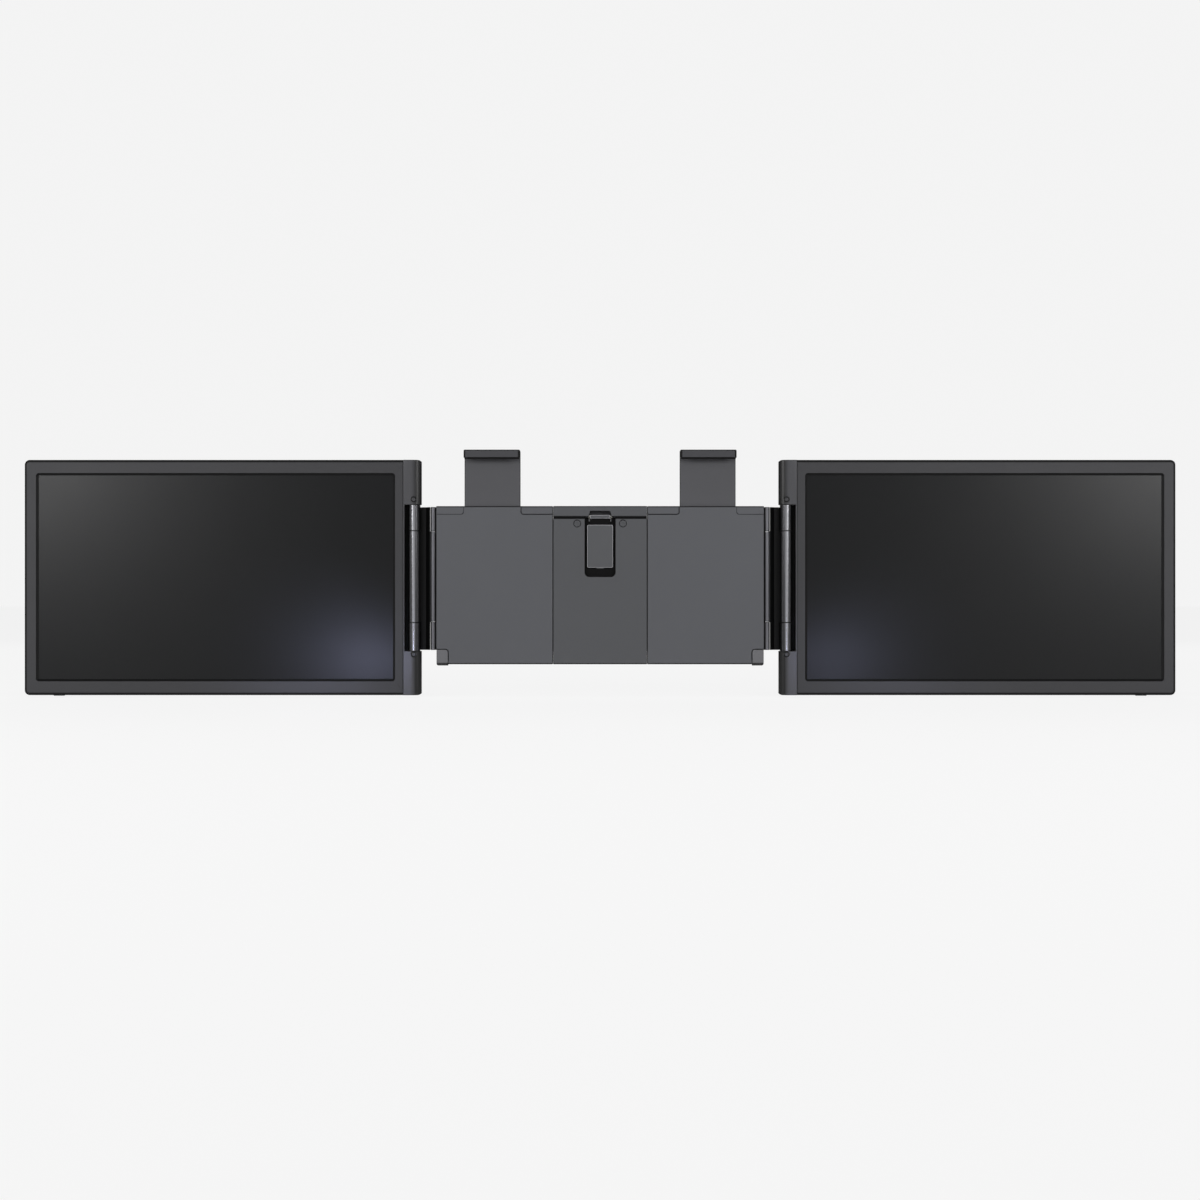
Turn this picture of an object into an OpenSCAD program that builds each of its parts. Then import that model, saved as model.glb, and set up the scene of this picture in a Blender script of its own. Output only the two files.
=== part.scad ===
// Laptop screen extender: a telescoping bracket that hooks over a laptop's lid and
// carries a hinged 13.3 inch display on each side.
// X points to the viewer's right, Y points away from the viewer and Z points up.
// The origin is the middle of the bracket's front face, where the lid rests.

/* [Bracket] */
// Width of the centre section
centre_w = 78.3; // [74:0.1:90]
// Width of each wing
wing_w = 97.4; // [96:0.1:110]
// Height of the bracket
bracket_h = 132.2; // [128:0.1:150]
// Depth of the front covers, from the face to the parting line
front_depth = 5.2; // [5:0.1:7]
// Depth of the rear covers
rear_depth = 6.4; // [6.2:0.1:9]
// Wall thickness of the covers
wall = 1.8; // [1.4:0.1:2.0]
// Seam between the centre section and each wing
seam = 0.35; // [0.3:0.05:0.6]

/* [Slides] */
// How far each wing draws out
slide_travel = 40; // [20:1:42]
// Thickness of each slide plate
slide_t = 1.4; // [1:0.1:1.6]
// How much of a slide plate stays in the centre section when it is drawn out
slide_grip = 32.2; // [28:0.1:35]
// Width of the guide strips beside the slide plates
guide_w = 2.6; // [2:0.1:2.8]

/* [Top clamps] */
// Distance of each clamp's middle from its wing's outer edge
clamp_x = 46.9; // [45:0.1:51]
// Width of each clamp
clamp_w = 46.8; // [40:0.1:48]
// Thickness of the clamp's plate
clamp_t = 1.8; // [1.4:0.1:2]
// Height of the clamp's top above the bracket
clamp_rise = 46.4; // [46.4:0.1:60]
// How far the clamps draw up
clamp_travel = 75; // [40:1:75]
// How much of a clamp stays in its wing when it is drawn up
clamp_grip = 21; // [16:1:23]
// Depth of the jaw, front to back
jaw_depth = 9.6; // [8:0.1:12]
// Height of the lip in front of the jaw
lip_h = 6.8; // [6.5:0.1:7]
// Thickness of the lip
lip_t = 2.6; // [2:0.1:3]
// Radius of the lip's rounded ends
lip_r = 2.4; // [1:0.1:4]
// Thickness of the rubber that lines the jaw
pad_t = 1; // [0.8:0.1:1.5]

/* [Lower hooks] */
// Width of each lower hook
hook_w = 9.6; // [8:0.1:14]
// Height of each lower hook, from its tip to its pivot
hook_h = 10.1; // [9:0.1:11]
// Radius of the hook's rounded foot
hook_r = 3.4; // [3.2:0.1:3.5]
// Radius of the recess's rounded corner
recess_r = 2.6; // [1:0.1:4]
// Thickness of the hook's plate
hook_t = 2.6; // [2:0.1:2.8]
// Height of the lip on the hook's tip
hook_lip = 2.4; // [1.5:0.1:2.5]
// Radius of the hook's pivot pin
hook_pin_r = 1.1; // [0.8:0.05:1.3]

/* [Width lock] */
// Width of the lock's pocket
pocket_w = 25.5; // [24.5:0.1:28]
// Height of the lock's pocket
pocket_h = 48.6; // [48:0.1:52]
// Corner radius at the pocket's foot
pocket_r = 3.8; // [2:0.1:5]
// Width of the thumb plate
thumb_w = 21.4; // [19:0.1:22]
// Height of the thumb plate
thumb_h = 35.7; // [34:0.1:37]
// Distance from the pocket's foot to the thumb plate
finger_room = 7.7; // [7.5:0.1:9]
// Width of the latch tongue above the thumb plate
tongue_w = 16.7; // [14:0.1:17]
// How far the thumb plate slides down
lock_travel = 6; // [3:0.5:6]
// Height of the trim strip above the lock
trim_h = 9.1; // [8.8:0.1:10]
// Width of the gap under the trim strip
trim_gap = 1.4; // [1:0.1:1.6]
// Distance of the pocket's two screws from the middle
pocket_screw_x = 19.1; // [18:0.1:22]

/* [Screens] */
// Width of each screen, without its hinge spine
screen_w = 315.8; // [315:0.1:330]
// Height of each screen
screen_h = 196.2; // [195:0.1:205]
// Thickness of each screen
screen_t = 8.4; // [8.2:0.1:8.6]
// Height of the screens' middle above the bracket's middle
screen_mid = 6.4; // [2:0.1:8]
// Corner radius of the screens
screen_r = 4.2; // [3:0.1:5]
// Border between the window and the spine
border_inner = 8.6; // [7:0.1:9]
// Border between the window and the screen's outer edge
border_outer = 11.6; // [10:0.1:13]
// Border above the window
border_top = 12.9; // [12:0.1:14]
// Border below the window
border_bottom = 13.4; // [12:0.1:15]
// Width of the bevel round the window
bevel = 1.7; // [1:0.1:2]
// Thickness of the bezel
bezel_t = 1.5; // [1.4:0.1:1.6]
// Wall thickness of the rear cover
shell_t = 1.6; // [1.2:0.1:1.6]
// Thickness of the display panel
panel_t = 2.2; // [2:0.1:2.3]
// Thickness of the backlight
backlight_t = 2.2; // [2:0.1:2.3]
// Thickness of the driver board
board_t = 0.8; // [0.6:0.1:0.8]

/* [Hinges] */
// Depth of both hinge axes behind the bracket's face
hinge_y = 1.7; // [1.5:0.1:1.9]
// Distance between a link's two axes
link_l = 15.9; // [15.5:0.1:17]
// Radius of the inner barrels
inner_r = 2.2; // [2:0.1:2.3]
// Radius of the outer barrels
outer_r = 5.2; // [5:0.1:5.3]
// Radius of the inner hinge pin
pin_r = 1.1; // [0.8:0.05:1.2]
// Radius of the outer hinge shaft
shaft_r = 2; // [1.5:0.05:2.5]
// Running clearance of a pin or shaft in its barrel
run_fit = 0.05; // [0.03:0.01:0.08]
// Seated clearance of a pin or shaft in its holder
seat_fit = 0.02; // [0.01:0.01:0.03]
// Distance of the hinges' upper end from the bracket's top
hinge_top = 0.8; // [0.6:0.1:4]
// Distance of the hinges' lower end from the bracket's foot
hinge_foot = 12; // [11.8:0.1:14]
// Height of the upper barrels
barrel_upper = 20; // [16:0.1:24]
// Height of the lower barrels
barrel_lower = 23; // [18:0.1:26]
// Width of the spine from the outer axis to the screen
spine_back = 8.8; // [8.5:0.1:10]
// Reach of the spine's rounded nose past the outer axis
spine_nose = 6.4; // [6:0.1:7]
// Thickness of the spine
spine_t = 10; // [9.6:0.1:10.2]
// Gap between the outer barrel and the notch behind it
notch_gap = 2.3; // [2:0.1:2.4]

/* [Kickstand] */
// Width of the kickstand
stand_w = 62; // [50:1:66]
// Length of the kickstand from its hinge
stand_l = 97; // [80:1:100]
// Thickness of the kickstand
stand_t = 2.2; // [2:0.1:2.6]
// Height of the kickstand's hinge above the bracket's middle
stand_z = 40; // [36:1:46]
// Radius of the kickstand's hinge pin
stand_pin_r = 0.9; // [0.7:0.05:1]

/* [Screws] */
// Head radius of the cover screws
screw_r = 2; // [1.8:0.1:2.2]
// Shank radius of the cover screws
shank_r = 0.95; // [0.8:0.05:1]
// Radius of the screw bosses
boss_r = 2.4; // [2.2:0.1:2.5]
// Distance of the screw rows from the bracket's upper and lower edges
screw_edge = 5.2; // [5:0.1:6]
// Distance of the screws from the seams
screw_side = 9.2; // [8:0.1:11]
// Distance of the wings' outer screws from the wings' outer edges
screw_outer = 11; // [10:0.1:12]

/* [Hidden] */
$fn = 48;

// A little more than enough, so that a cut passes through a face
over = 1;
// Clearance between sliding pieces
slip = 0.3;
// Depth of a countersunk head
head_t = 0.9;

// Places across the bracket
half_c = centre_w / 2;
half_h = bracket_h / 2;
depth = front_depth + rear_depth;
rear_in = depth - wall;
wing_x0 = half_c + seam;
wing_x1 = wing_x0 + wing_w;
clamp_mid = wing_x1 - clamp_x;
// Rows of screws above and below the slide plates
screw_z = half_h - screw_edge;
centre_screw_x = half_c - screw_side;
pilot_floor = 1.5;

// Slide plates, between the guide strips: the left one runs in front of the right one
guide_gap = 0.1;
slide_h = 2 * (screw_z - boss_r - guide_gap - guide_w - slip);
slide_y_left = front_depth + 0.6;
slide_y_right = slide_y_left + slide_t + 0.4;
slide_reach = slide_grip + slide_travel - half_c;
slide_end = wing_x1 - 20;
rib_w = 10;
rib_x = clamp_mid - 28;
rib_inset = 8;

// Hinges
pin_x = wing_x1 + 0.4 + inner_r;
axis_x = pin_x + link_l;
hinge_z0 = -half_h + hinge_foot;
hinge_z1 = half_h - hinge_top;
upper_part = hinge_z1 - barrel_upper;
lower_part = hinge_z0 + barrel_lower;
joint_gap = 1.2;
sleeve_gap = 0.4;
notch_top = hinge_z1 + 1.7;
notch_foot = hinge_z0 - 0.8;
shaft_grip = 15;
// Grub screws that hold the shaft
grub_r = 2.05;
grub_socket_r = 1;
grub_places = [notch_foot - 2.8, notch_top + 4.6];
leaf_t = 1.6;
leaf_w = 15;
// The arm's section, measured from the plane of the two axes
arm_front = 1.2;
arm_back = 4;
arm_dip = 2;
arm_rise = 4;
arm_end = 1.6;

// Screens
spine_x = axis_x + spine_back;
screen_x1 = spine_x + screen_w;
screen_z0 = screen_mid - screen_h / 2;
screen_z1 = screen_mid + screen_h / 2;
screen_y0 = hinge_y - screen_t / 2;
screen_y1 = hinge_y + screen_t / 2;
window_w = screen_w - border_inner - border_outer;
window_h = screen_h - border_top - border_bottom;
window_x0 = spine_x + border_inner;
window_z1 = screen_z1 - border_top;
window_z0 = window_z1 - window_h;
glass_y = screen_y0 + bezel_t;
panel_lap = 2.5;
screw_inset_x = 12;
screw_inset_z = 6.2;
board_w = 120;
board_h = 34;
board_x = spine_x + 20;
board_y = glass_y + panel_t + backlight_t + 0.05;
key_w = 9;
key_t = 2.4;
key_proud = 0.6;
key_inset = 28;
key_x = screen_x1 - key_inset;
key_flange = 1;

// Top clamps
clamp_y = wall + 0.8;
clamp_z1 = half_h + clamp_rise;
clamp_z0 = half_h - clamp_grip - clamp_travel;
roof_t = 2.4;
lip_y = clamp_y - jaw_depth;
pad_inset = 0.6;
spring_l = 27;
rail_w = 1.5;
rail_x = clamp_w / 2 + slip;
peg_r = 1;

// Lower hooks
recess_gap = 0.3;
hook_x1 = wing_x1 - recess_gap;
hook_x0 = hook_x1 - hook_w;
hook_y = hook_r - 0.2;
hook_z = -half_h + hook_r - 1.1;
hook_tip = hook_z + hook_h;
recess_x = hook_x0 - recess_gap;
recess_z = hook_tip + recess_gap;
recess_y = hook_y + hook_r + 0.4;
hook_bore_x = recess_x - 9;
hook_screw_x = hook_x0 - 14.5;
hook_end = 1.2;
hook_lip_t = 1.6;
hook_corner_r = 1.6;

// Width lock
plate_z1 = half_h - trim_h - trim_gap;
pocket_z0 = plate_z1 - pocket_h;
thumb_z0 = pocket_z0 + finger_room;
thumb_z1 = thumb_z0 + thumb_h;
thumb_y = 0.6;
thumb_r = 1;
thumb_back = 3.4;
floor_y = thumb_back + slip;
floor_t = 0.8;
pocket_wall = 1.2;
pocket_screw_z = plate_z1 - 4.1;
pocket_head_r = 2.9;
ear_z1 = plate_z1 - 2.2;
neck_y = 2.2;
tongue_y = 0.8;
tongue_back = thumb_back - 0.4;
tongue_z0 = plate_z1 + 0.2;
tongue_h = 2.8;
notch_h = 6.4;
notch_play = 0.5;
notch_flare = 2;
notch_r = 1.2;
step_y = 1.9;
ledge_t = 1.2;
stem_w = 5.4;
stem_z0 = thumb_z0 + stem_w;
stem_h = 8;
shoe_w = 18;
shoe_h = 14;
spring_r = 0.75;
spring_wire = 0.2;
post_z = stem_z0 + stem_h + 4;
post_h = 1.5;
post_w = 2.4;
channel_z1 = thumb_z1 - 2.4;
spring_y = 2.5;
channel_w = 3.2;

// Kickstand
stand_y = depth + 0.4;
stand_hinge_r = 1.9;
stand_axis_y = depth + slip + stand_hinge_r;
lug_w = 6;
lug_x = stand_w / 2 - lug_w - 4;
foot_h = 2.2;
finger_r = 9;
foot_x = finger_r + 3;

// ---- Shared shapes ----

// A box between two corners
module block(from, to) {
    translate(from) cube(to - from);
}

// A round bar along Y
module bar_y(x, z, y0, y1, r) {
    translate([x, y0, z]) rotate([-90, 0, 0]) cylinder(h = y1 - y0, r = r);
}

// A round bar along Z
module bar_z(x, y, z0, z1, r) {
    translate([x, y, z0]) cylinder(h = z1 - z0, r = r);
}

// A round bar along X
module bar_x(y, z, x0, x1, r) {
    translate([x0, y, z]) rotate([0, 90, 0]) cylinder(h = x1 - x0, r = r);
}

// A plate in the XZ plane with corner radii given as [left, right]
module plate(x0, x1, z0, z1, y0, y1, r) {
    translate([0, y1, 0]) rotate([90, 0, 0]) linear_extrude(y1 - y0) union() {
        translate([x0 + r[0], z0]) square([x1 - x0 - r[0] - r[1], z1 - z0]);
        for (side = [0, 1]) if (r[side] > 0) {
            strip = side == 0 ? x0 : x1 - r[1];
            centre = side == 0 ? x0 + r[0] : x1 - r[1];
            translate([strip, z0 + r[side]]) square([r[side], z1 - z0 - 2 * r[side]]);
            translate([centre, z0 + r[side]]) circle(r[side]);
            translate([centre, z1 - r[side]]) circle(r[side]);
        }
    }
}

// A window cut with sloping sides, wide at y0 and narrow at y1
module funnel(x0, x1, z0, z1, y0, y1, slope) {
    intersection() {
        translate([0, 0, z0 - slope - over]) linear_extrude(z1 - z0 + 2 * slope + 2 * over)
            polygon([[x0 - slope, y0], [x1 + slope, y0], [x1, y1], [x0, y1]]);
        translate([x0 - slope - over, 0, 0]) rotate([90, 0, 90])
            linear_extrude(x1 - x0 + 2 * slope + 2 * over)
            polygon([[y0, z0 - slope], [y0, z1 + slope], [y1, z1], [y1, z0]]);
    }
}

// Rounds a corner at (x, z) that points towards dx, dz, each 1 or -1
module corner_cut(x, z, dx, dz, r, y0, y1) translate([x - dx * r, 0, z - dz * r]) difference() {
    block([dx > 0 ? 0 : -r - over, y0, dz > 0 ? 0 : -r - over],
          [dx > 0 ? r + over : 0, y1, dz > 0 ? r + over : 0]);
    bar_y(0, 0, y0 - over, y1 + over, r);
}

// Mirrors the right-hand shape to the left where side is -1
module on_side(side) {
    if (side < 0) mirror([1, 0, 0]) children();
    else children();
}

// A countersunk screw from the back at y, with its shank running forwards
module rear_screw(x, z, y, length) {
    difference() {
        union() {
            bar_y(x, z, y - head_t, y, screw_r);
            bar_y(x, z, y - length, y - head_t, shank_r);
        }
        for (turn = [0, 90]) translate([x, y, z]) rotate([0, turn, 0])
            cube([screw_r * 1.3, head_t, 0.5], center = true);
    }
}

// The hole for a rear screw in a cover
module rear_screw_hole(x, z, y) {
    bar_y(x, z, y - head_t, y + over, screw_r + 0.1);
    bar_y(x, z, y - wall - over, y, shank_r + 0.1);
}

// A boss with a pilot hole
module boss(x, z, y0, y1) {
    difference() {
        bar_y(x, z, y0, y1, boss_r);
        bar_y(x, z, y0 + pilot_floor, y1 + over, shank_r + 0.05);
    }
}

// Point n on a helix along Z
function coil_point(n, steps, r, z0, length, turns) = [
    r * cos(360 * turns * n / steps),
    r * sin(360 * turns * n / steps),
    z0 + length * n / steps
];

// A wire coil along Z as one swept mesh
module coil(x, y, z0, length, turns, r, wire) {
    steps = turns * 10;
    sides = 5;
    slant = atan(length / (360 * turns / 180 * 3.1416 * r));
    points = [for (n = [0:steps]) let (
        centre = coil_point(n, steps, r, z0 + wire, length - 2 * wire, turns),
        turn = 360 * turns * n / steps
    ) for (s = [0:sides - 1]) let (
        out = wire * cos(360 * s / sides),
        up = wire * sin(360 * s / sides)
    ) centre + [
        out * cos(turn) + up * sin(slant) * sin(turn),
        out * sin(turn) - up * sin(slant) * cos(turn),
        up * cos(slant)
    ]];
    faces = concat(
        [[for (s = [0:sides - 1]) s]],
        [for (n = [0:steps - 1]) for (s = [0:sides - 1]) let (
            a = n * sides + s,
            b = n * sides + (s + 1) % sides
        ) for (face = [[a, a + sides, b + sides], [a, b + sides, b]]) face],
        [[for (s = [sides - 1:-1:0]) steps * sides + s]]
    );
    translate([x, y, 0]) polyhedron(points = points, faces = faces, convexity = 10);
}

// ---- Centre section ----

// The trapezoid with rounded upper corners through which the latch tongue shows
module tongue_notch(y0, y1) {
    foot_z = plate_z1 - over;
    foot_w = tongue_w / 2 + notch_flare;
    top_z = plate_z1 + notch_h;
    top_w = tongue_w / 2 + notch_play;
    slant = atan((foot_w - top_w) / (top_z - foot_z));
    // the rounding's middle, from the upper corner, and its first and last angle
    in_x = notch_r * tan(45 + slant / 2);
    arc = [for (step = [0:4]) 90 - (90 - slant) * step / 4];
    right = concat(
        [[foot_w, foot_z]],
        [for (n = [4:-1:0]) [top_w - in_x + notch_r * cos(arc[n]), top_z - notch_r + notch_r * sin(arc[n])]]
    );
    left = [for (n = [len(right) - 1:-1:0]) [-right[n][0], right[n][1]]];
    translate([0, y1, 0]) rotate([90, 0, 0]) linear_extrude(y1 - y0) polygon(concat(right, left));
}

module centre_front_plate() color([0.33, 0.33, 0.34]) difference() {
    union() {
        difference() {
            plate(-half_c, half_c, -half_h, half_h, 0, front_depth, [0, 0]);
            block([-half_c + wall, wall, -half_h + wall],
                  [half_c - wall, front_depth + over, half_h - wall]);
        }
        // the ledge behind the trim strip
        block([-half_c + 0.5, step_y, plate_z1 - 2],
              [half_c - 0.5, step_y + ledge_t, half_h - 0.5]);
        for (x = [-centre_screw_x, centre_screw_x]) for (z = [-screw_z, screw_z])
            boss(x, z, wall, rear_in);
    }
    // the step for the trim strip and its gap
    block([-half_c - over, -over, plate_z1], [half_c + over, step_y, half_h + over]);
    // the lock's pocket
    pocket_cut(-over, step_y + ledge_t + over);
    tongue_notch(step_y - over, step_y + ledge_t + over);
    for (x = [-pocket_screw_x, pocket_screw_x]) {
        bar_y(x, pocket_screw_z, -over, head_t, pocket_head_r + 0.1);
        bar_y(x, pocket_screw_z, 0, wall + over, shank_r + 0.1);
    }
}

// The pocket's outline, cut between y0 and y1
module pocket_cut(y0, y1) {
    x = pocket_w / 2;
    block([-x, y0, pocket_z0 + pocket_r], [x, y1, plate_z1 + over]);
    block([-x + pocket_r, y0, pocket_z0], [x - pocket_r, y1, pocket_z0 + pocket_r + over]);
    for (side = [-1, 1]) bar_y(side * (x - pocket_r), pocket_z0 + pocket_r, y0, y1, pocket_r);
}

module centre_top_trim() color([0.36, 0.36, 0.37]) difference() {
    plate(-half_c, half_c, half_h - trim_h, half_h, 0, step_y, [0, 0]);
    tongue_notch(-over, step_y + over);
}

module centre_rear_shell() color([0.24, 0.24, 0.25]) difference() {
    union() {
        difference() {
            plate(-half_c, half_c, -half_h, half_h, front_depth, depth, [0, 0]);
            block([-half_c + wall, front_depth - over, -half_h + wall],
                  [half_c - wall, rear_in, half_h - wall]);
        }
        // lugs for the kickstand's pin
        for (side = [-1, 1]) {
            x0 = side > 0 ? lug_x + slip : -lug_x - slip - lug_w;
            bar_x(stand_axis_y, stand_z, x0, x0 + lug_w, stand_hinge_r);
            block([x0, rear_in, stand_z - stand_hinge_r],
                  [x0 + lug_w, stand_axis_y, stand_z + stand_hinge_r]);
        }
    }
    // the way through for the slide plates
    block([-half_c - over, front_depth - over, -slide_h / 2 - slip],
          [half_c + over, slide_y_right + slide_t + slip, slide_h / 2 + slip]);
    bar_x(stand_axis_y, stand_z, -half_c, half_c, stand_pin_r + seat_fit);
    for (x = [-centre_screw_x, centre_screw_x]) for (z = [-screw_z, screw_z]) {
        rear_screw_hole(x, z, depth);
    }
}

module centre_screws() color([0.1, 0.1, 0.1]) {
    for (x = [-centre_screw_x, centre_screw_x]) for (z = [-screw_z, screw_z])
        rear_screw(x, z, depth, 5);
    for (x = [-pocket_screw_x, pocket_screw_x]) difference() {
        union() {
            bar_y(x, pocket_screw_z, 0.1, head_t, pocket_head_r);
            bar_y(x, pocket_screw_z, head_t, floor_y, shank_r);
        }
        bar_y(x, pocket_screw_z, -over, 0.6, pocket_head_r / 2.4);
    }
}

module slide_guides() color([0.85, 0.85, 0.82]) for (side = [-1, 1]) {
    z = side * (slide_h / 2 + slip + guide_w / 2);
    block([-half_c + wall + slip, slide_y_left - 0.3, z - guide_w / 2],
          [half_c - wall - slip, rear_in, z + guide_w / 2]);
}

// ---- Width lock ----

module lock_pocket() color([0.06, 0.06, 0.06]) union() {
    x = pocket_w / 2 + pocket_wall;
    difference() {
        union() {
            plate(-x, x, pocket_z0 - pocket_wall, ear_z1, wall, floor_y + floor_t, [0, 0]);
            // ears for the two screws
            block([-pocket_screw_x - boss_r, wall, pocket_screw_z - boss_r],
                  [pocket_screw_x + boss_r, floor_y, ear_z1]);
        }
        pocket_cut(wall - over, floor_y);
        // the slot for the slider's stem
        block([-stem_w / 2 - slip, floor_y - over, stem_z0 - lock_travel - slip],
              [stem_w / 2 + slip, floor_y + floor_t + over, stem_z0 + stem_h + slip]);
        for (side = [-1, 1]) bar_y(side * pocket_screw_x, pocket_screw_z,
            wall - over, floor_y + over, shank_r + 0.05);
    }
    // the post that the spring pushes against
    block([-post_w / 2, spring_y - 0.6, post_z], [post_w / 2, floor_y + floor_t / 2, post_z + post_h]);
}

module lock_slider() color([0.34, 0.34, 0.35]) difference() {
    union() {
        plate(-thumb_w / 2, thumb_w / 2, thumb_z0, thumb_z1, thumb_y, thumb_back,
              [thumb_r, thumb_r]);
        // the neck and the tongue above it
        block([-tongue_w / 2, neck_y, thumb_z1 - over], [tongue_w / 2, tongue_back, tongue_z0]);
        block([-tongue_w / 2, tongue_y, tongue_z0], [tongue_w / 2, tongue_back, tongue_z0 + tongue_h]);
        block([-stem_w / 2, thumb_back - over, stem_z0],
              [stem_w / 2, floor_y + floor_t + slip, stem_z0 + stem_h]);
    }
    // the channel for the spring
    block([-channel_w / 2, spring_y - 1, post_z - 0.5],
          [channel_w / 2, thumb_back + over, channel_z1]);
}

module lock_shoe() color([0.1, 0.1, 0.1])
    block([-shoe_w / 2, floor_y + floor_t + slip, stem_z0 + stem_h / 2 - shoe_h / 2],
          [shoe_w / 2, slide_y_left - slip, stem_z0 + stem_h / 2 + shoe_h / 2]);

module lock_spring() color([0.7, 0.7, 0.7])
    coil(0, spring_y, post_z + post_h, channel_z1 - post_z - post_h, 8, spring_r, spring_wire);

// ---- Kickstand ----

module kickstand() color([0.25, 0.25, 0.26]) difference() {
    union() {
        plate(-stand_w / 2, stand_w / 2, stand_z - stand_l + foot_h, stand_z - stand_hinge_r - 0.6,
              stand_y, stand_y + stand_t, [0, 0]);
        bar_x(stand_axis_y, stand_z, -lug_x, lug_x, stand_hinge_r);
        block([-lug_x, stand_y, stand_z - stand_hinge_r - 1.6],
              [lug_x, stand_y + stand_t, stand_z]);
    }
    bar_x(stand_axis_y, stand_z, -half_c, half_c, stand_pin_r + run_fit);
    // the finger cut at the foot
    bar_y(0, stand_z - stand_l, stand_y - over, stand_y + stand_t + over, finger_r);
}

module kickstand_foot() color([0.05, 0.05, 0.05]) for (side = [-1, 1])
    translate([side > 0 ? foot_x : -stand_w / 2, stand_y, stand_z - stand_l])
        cube([stand_w / 2 - foot_x, stand_t, foot_h]);

module kickstand_pin() color([0.7, 0.7, 0.72])
    bar_x(stand_axis_y, stand_z, -lug_x - lug_w, lug_x + lug_w, stand_pin_r);

// ---- Wings ----

module wing_screw_places() {
    translate([wing_x0 + screw_side, 0, screw_z]) children();
    translate([wing_x1 - screw_outer, 0, screw_z]) children();
    translate([wing_x0 + screw_side, 0, -screw_z]) children();
    translate([hook_screw_x, 0, -screw_z]) children();
}

// The space that the lower hook folds into, with a rounded inner corner
module hook_recess() {
    plate(recess_x, wing_x1 + over, -half_h - over - recess_r, recess_z, -over, recess_y,
          [recess_r, 0]);
}

module wing_front_cover(side) color([0.35, 0.35, 0.36]) on_side(side) difference() {
    union() {
        difference() {
            plate(wing_x0, wing_x1, -half_h, half_h, 0, front_depth, [0, 0]);
            block([wing_x0 + wall, wall, -half_h + wall],
                  [wing_x1 - wall, front_depth + over, half_h - wall]);
        }
        // rails beside the clamp's plate
        for (x = [clamp_mid - rail_x - rail_w, clamp_mid + rail_x])
            block([x, wall, -half_h + wall + 1], [x + rail_w, front_depth, half_h - wall]);
        // the peg that the clamp's spring hangs on
        bar_y(clamp_mid, clamp_z0 - spring_l - peg_r, wall, front_depth, peg_r);
        wing_screw_places() boss(0, 0, wall, rear_in);
        // the block round the lower hook's recess
        block([recess_x - wall, wall, -half_h], [wing_x1, front_depth, recess_z + wall]);
        block([hook_bore_x - over, wall, -half_h], [recess_x, front_depth, hook_z + 3]);
    }
    hook_recess();
    bar_x(hook_y, hook_z, hook_bore_x, wing_x1, hook_pin_r + seat_fit);
    // the clamp's way out
    block([clamp_mid - rail_x, clamp_y - slip, half_h - wall - over],
          [clamp_mid + rail_x, clamp_y + clamp_t + slip, half_h + over]);
    // the ways out for the hinge leaf's tongues
    block([wing_x1 - wall - over, wall, upper_part - slip],
          [wing_x1 + over, front_depth + over, half_h - wall]);
    block([wing_x1 - wall - over, wall, recess_z + wall],
          [wing_x1 + over, front_depth + over, lower_part + slip]);
}

module wing_rear_cover(side) color([0.24, 0.24, 0.25]) on_side(side) difference() {
    slide_y = side < 0 ? slide_y_left : slide_y_right;
    union() {
        difference() {
            plate(wing_x0, wing_x1, -half_h, half_h, front_depth, depth, [0, 0]);
            block([wing_x0 + wall, front_depth - over, -half_h + wall],
                  [wing_x1 - wall, rear_in, half_h - wall]);
        }
        // ribs that carry the slide plate
        for (x = [rib_x, slide_end - rib_w])
            block([x, slide_y + slide_t, -slide_h / 2 + rib_inset],
                  [x + rib_w, depth, slide_h / 2 - rib_inset]);
        block([recess_x - wall, front_depth, -half_h], [wing_x1, rear_in + wall / 2, recess_z + wall]);
    }
    hook_recess();
    // the slide plate's way in
    block([wing_x0 - over, front_depth - over, -slide_h / 2 - slip],
          [wing_x0 + wall + over, slide_y_right + slide_t + slip, slide_h / 2 + slip]);
    wing_screw_places() rear_screw_hole(0, 0, depth);
}

module wing_screws(side) color([0.1, 0.1, 0.1]) on_side(side)
    wing_screw_places() rear_screw(0, 0, depth, 5);

module slide_plate(side) color([0.45, 0.45, 0.46]) on_side(side) difference() {
    y = side < 0 ? slide_y_left : slide_y_right;
    block([-slide_reach, y, -slide_h / 2], [slide_end, y + slide_t, slide_h / 2]);
    // clear of the lower hook's recess
    block([recess_x - wall - slip, y - over, -half_h], [wing_x1, y + slide_t + over, recess_z + wall + slip]);
}

module hinge_leaf(side) color([0.3, 0.3, 0.31]) on_side(side) difference() {
    foot = recess_z + wall + slip;
    union() {
        block([wing_x1 - wall - leaf_w, wall, foot],
              [wing_x1 - wall - slip, wall + leaf_t, half_h - wall - 2]);
        block([wing_x1 - wall - over, wall, upper_part],
              [pin_x, wall + leaf_t, half_h - wall - 2]);
        block([wing_x1 - wall - over, wall, foot], [pin_x, wall + leaf_t, lower_part]);
        bar_z(pin_x, hinge_y, upper_part, hinge_z1, inner_r);
        bar_z(pin_x, hinge_y, hinge_z0, lower_part, inner_r);
    }
    bar_z(pin_x, hinge_y, hinge_z0 - over, hinge_z1 + over, pin_r + seat_fit);
    // clear of the screw boss
    bar_y(wing_x1 - screw_outer, screw_z, wall - over, front_depth, boss_r + slip);
}

module link_pin(side) color([0.7, 0.7, 0.72]) on_side(side)
    bar_z(pin_x, hinge_y, hinge_z0, hinge_z1, pin_r);

// ---- Top clamps ----

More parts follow.
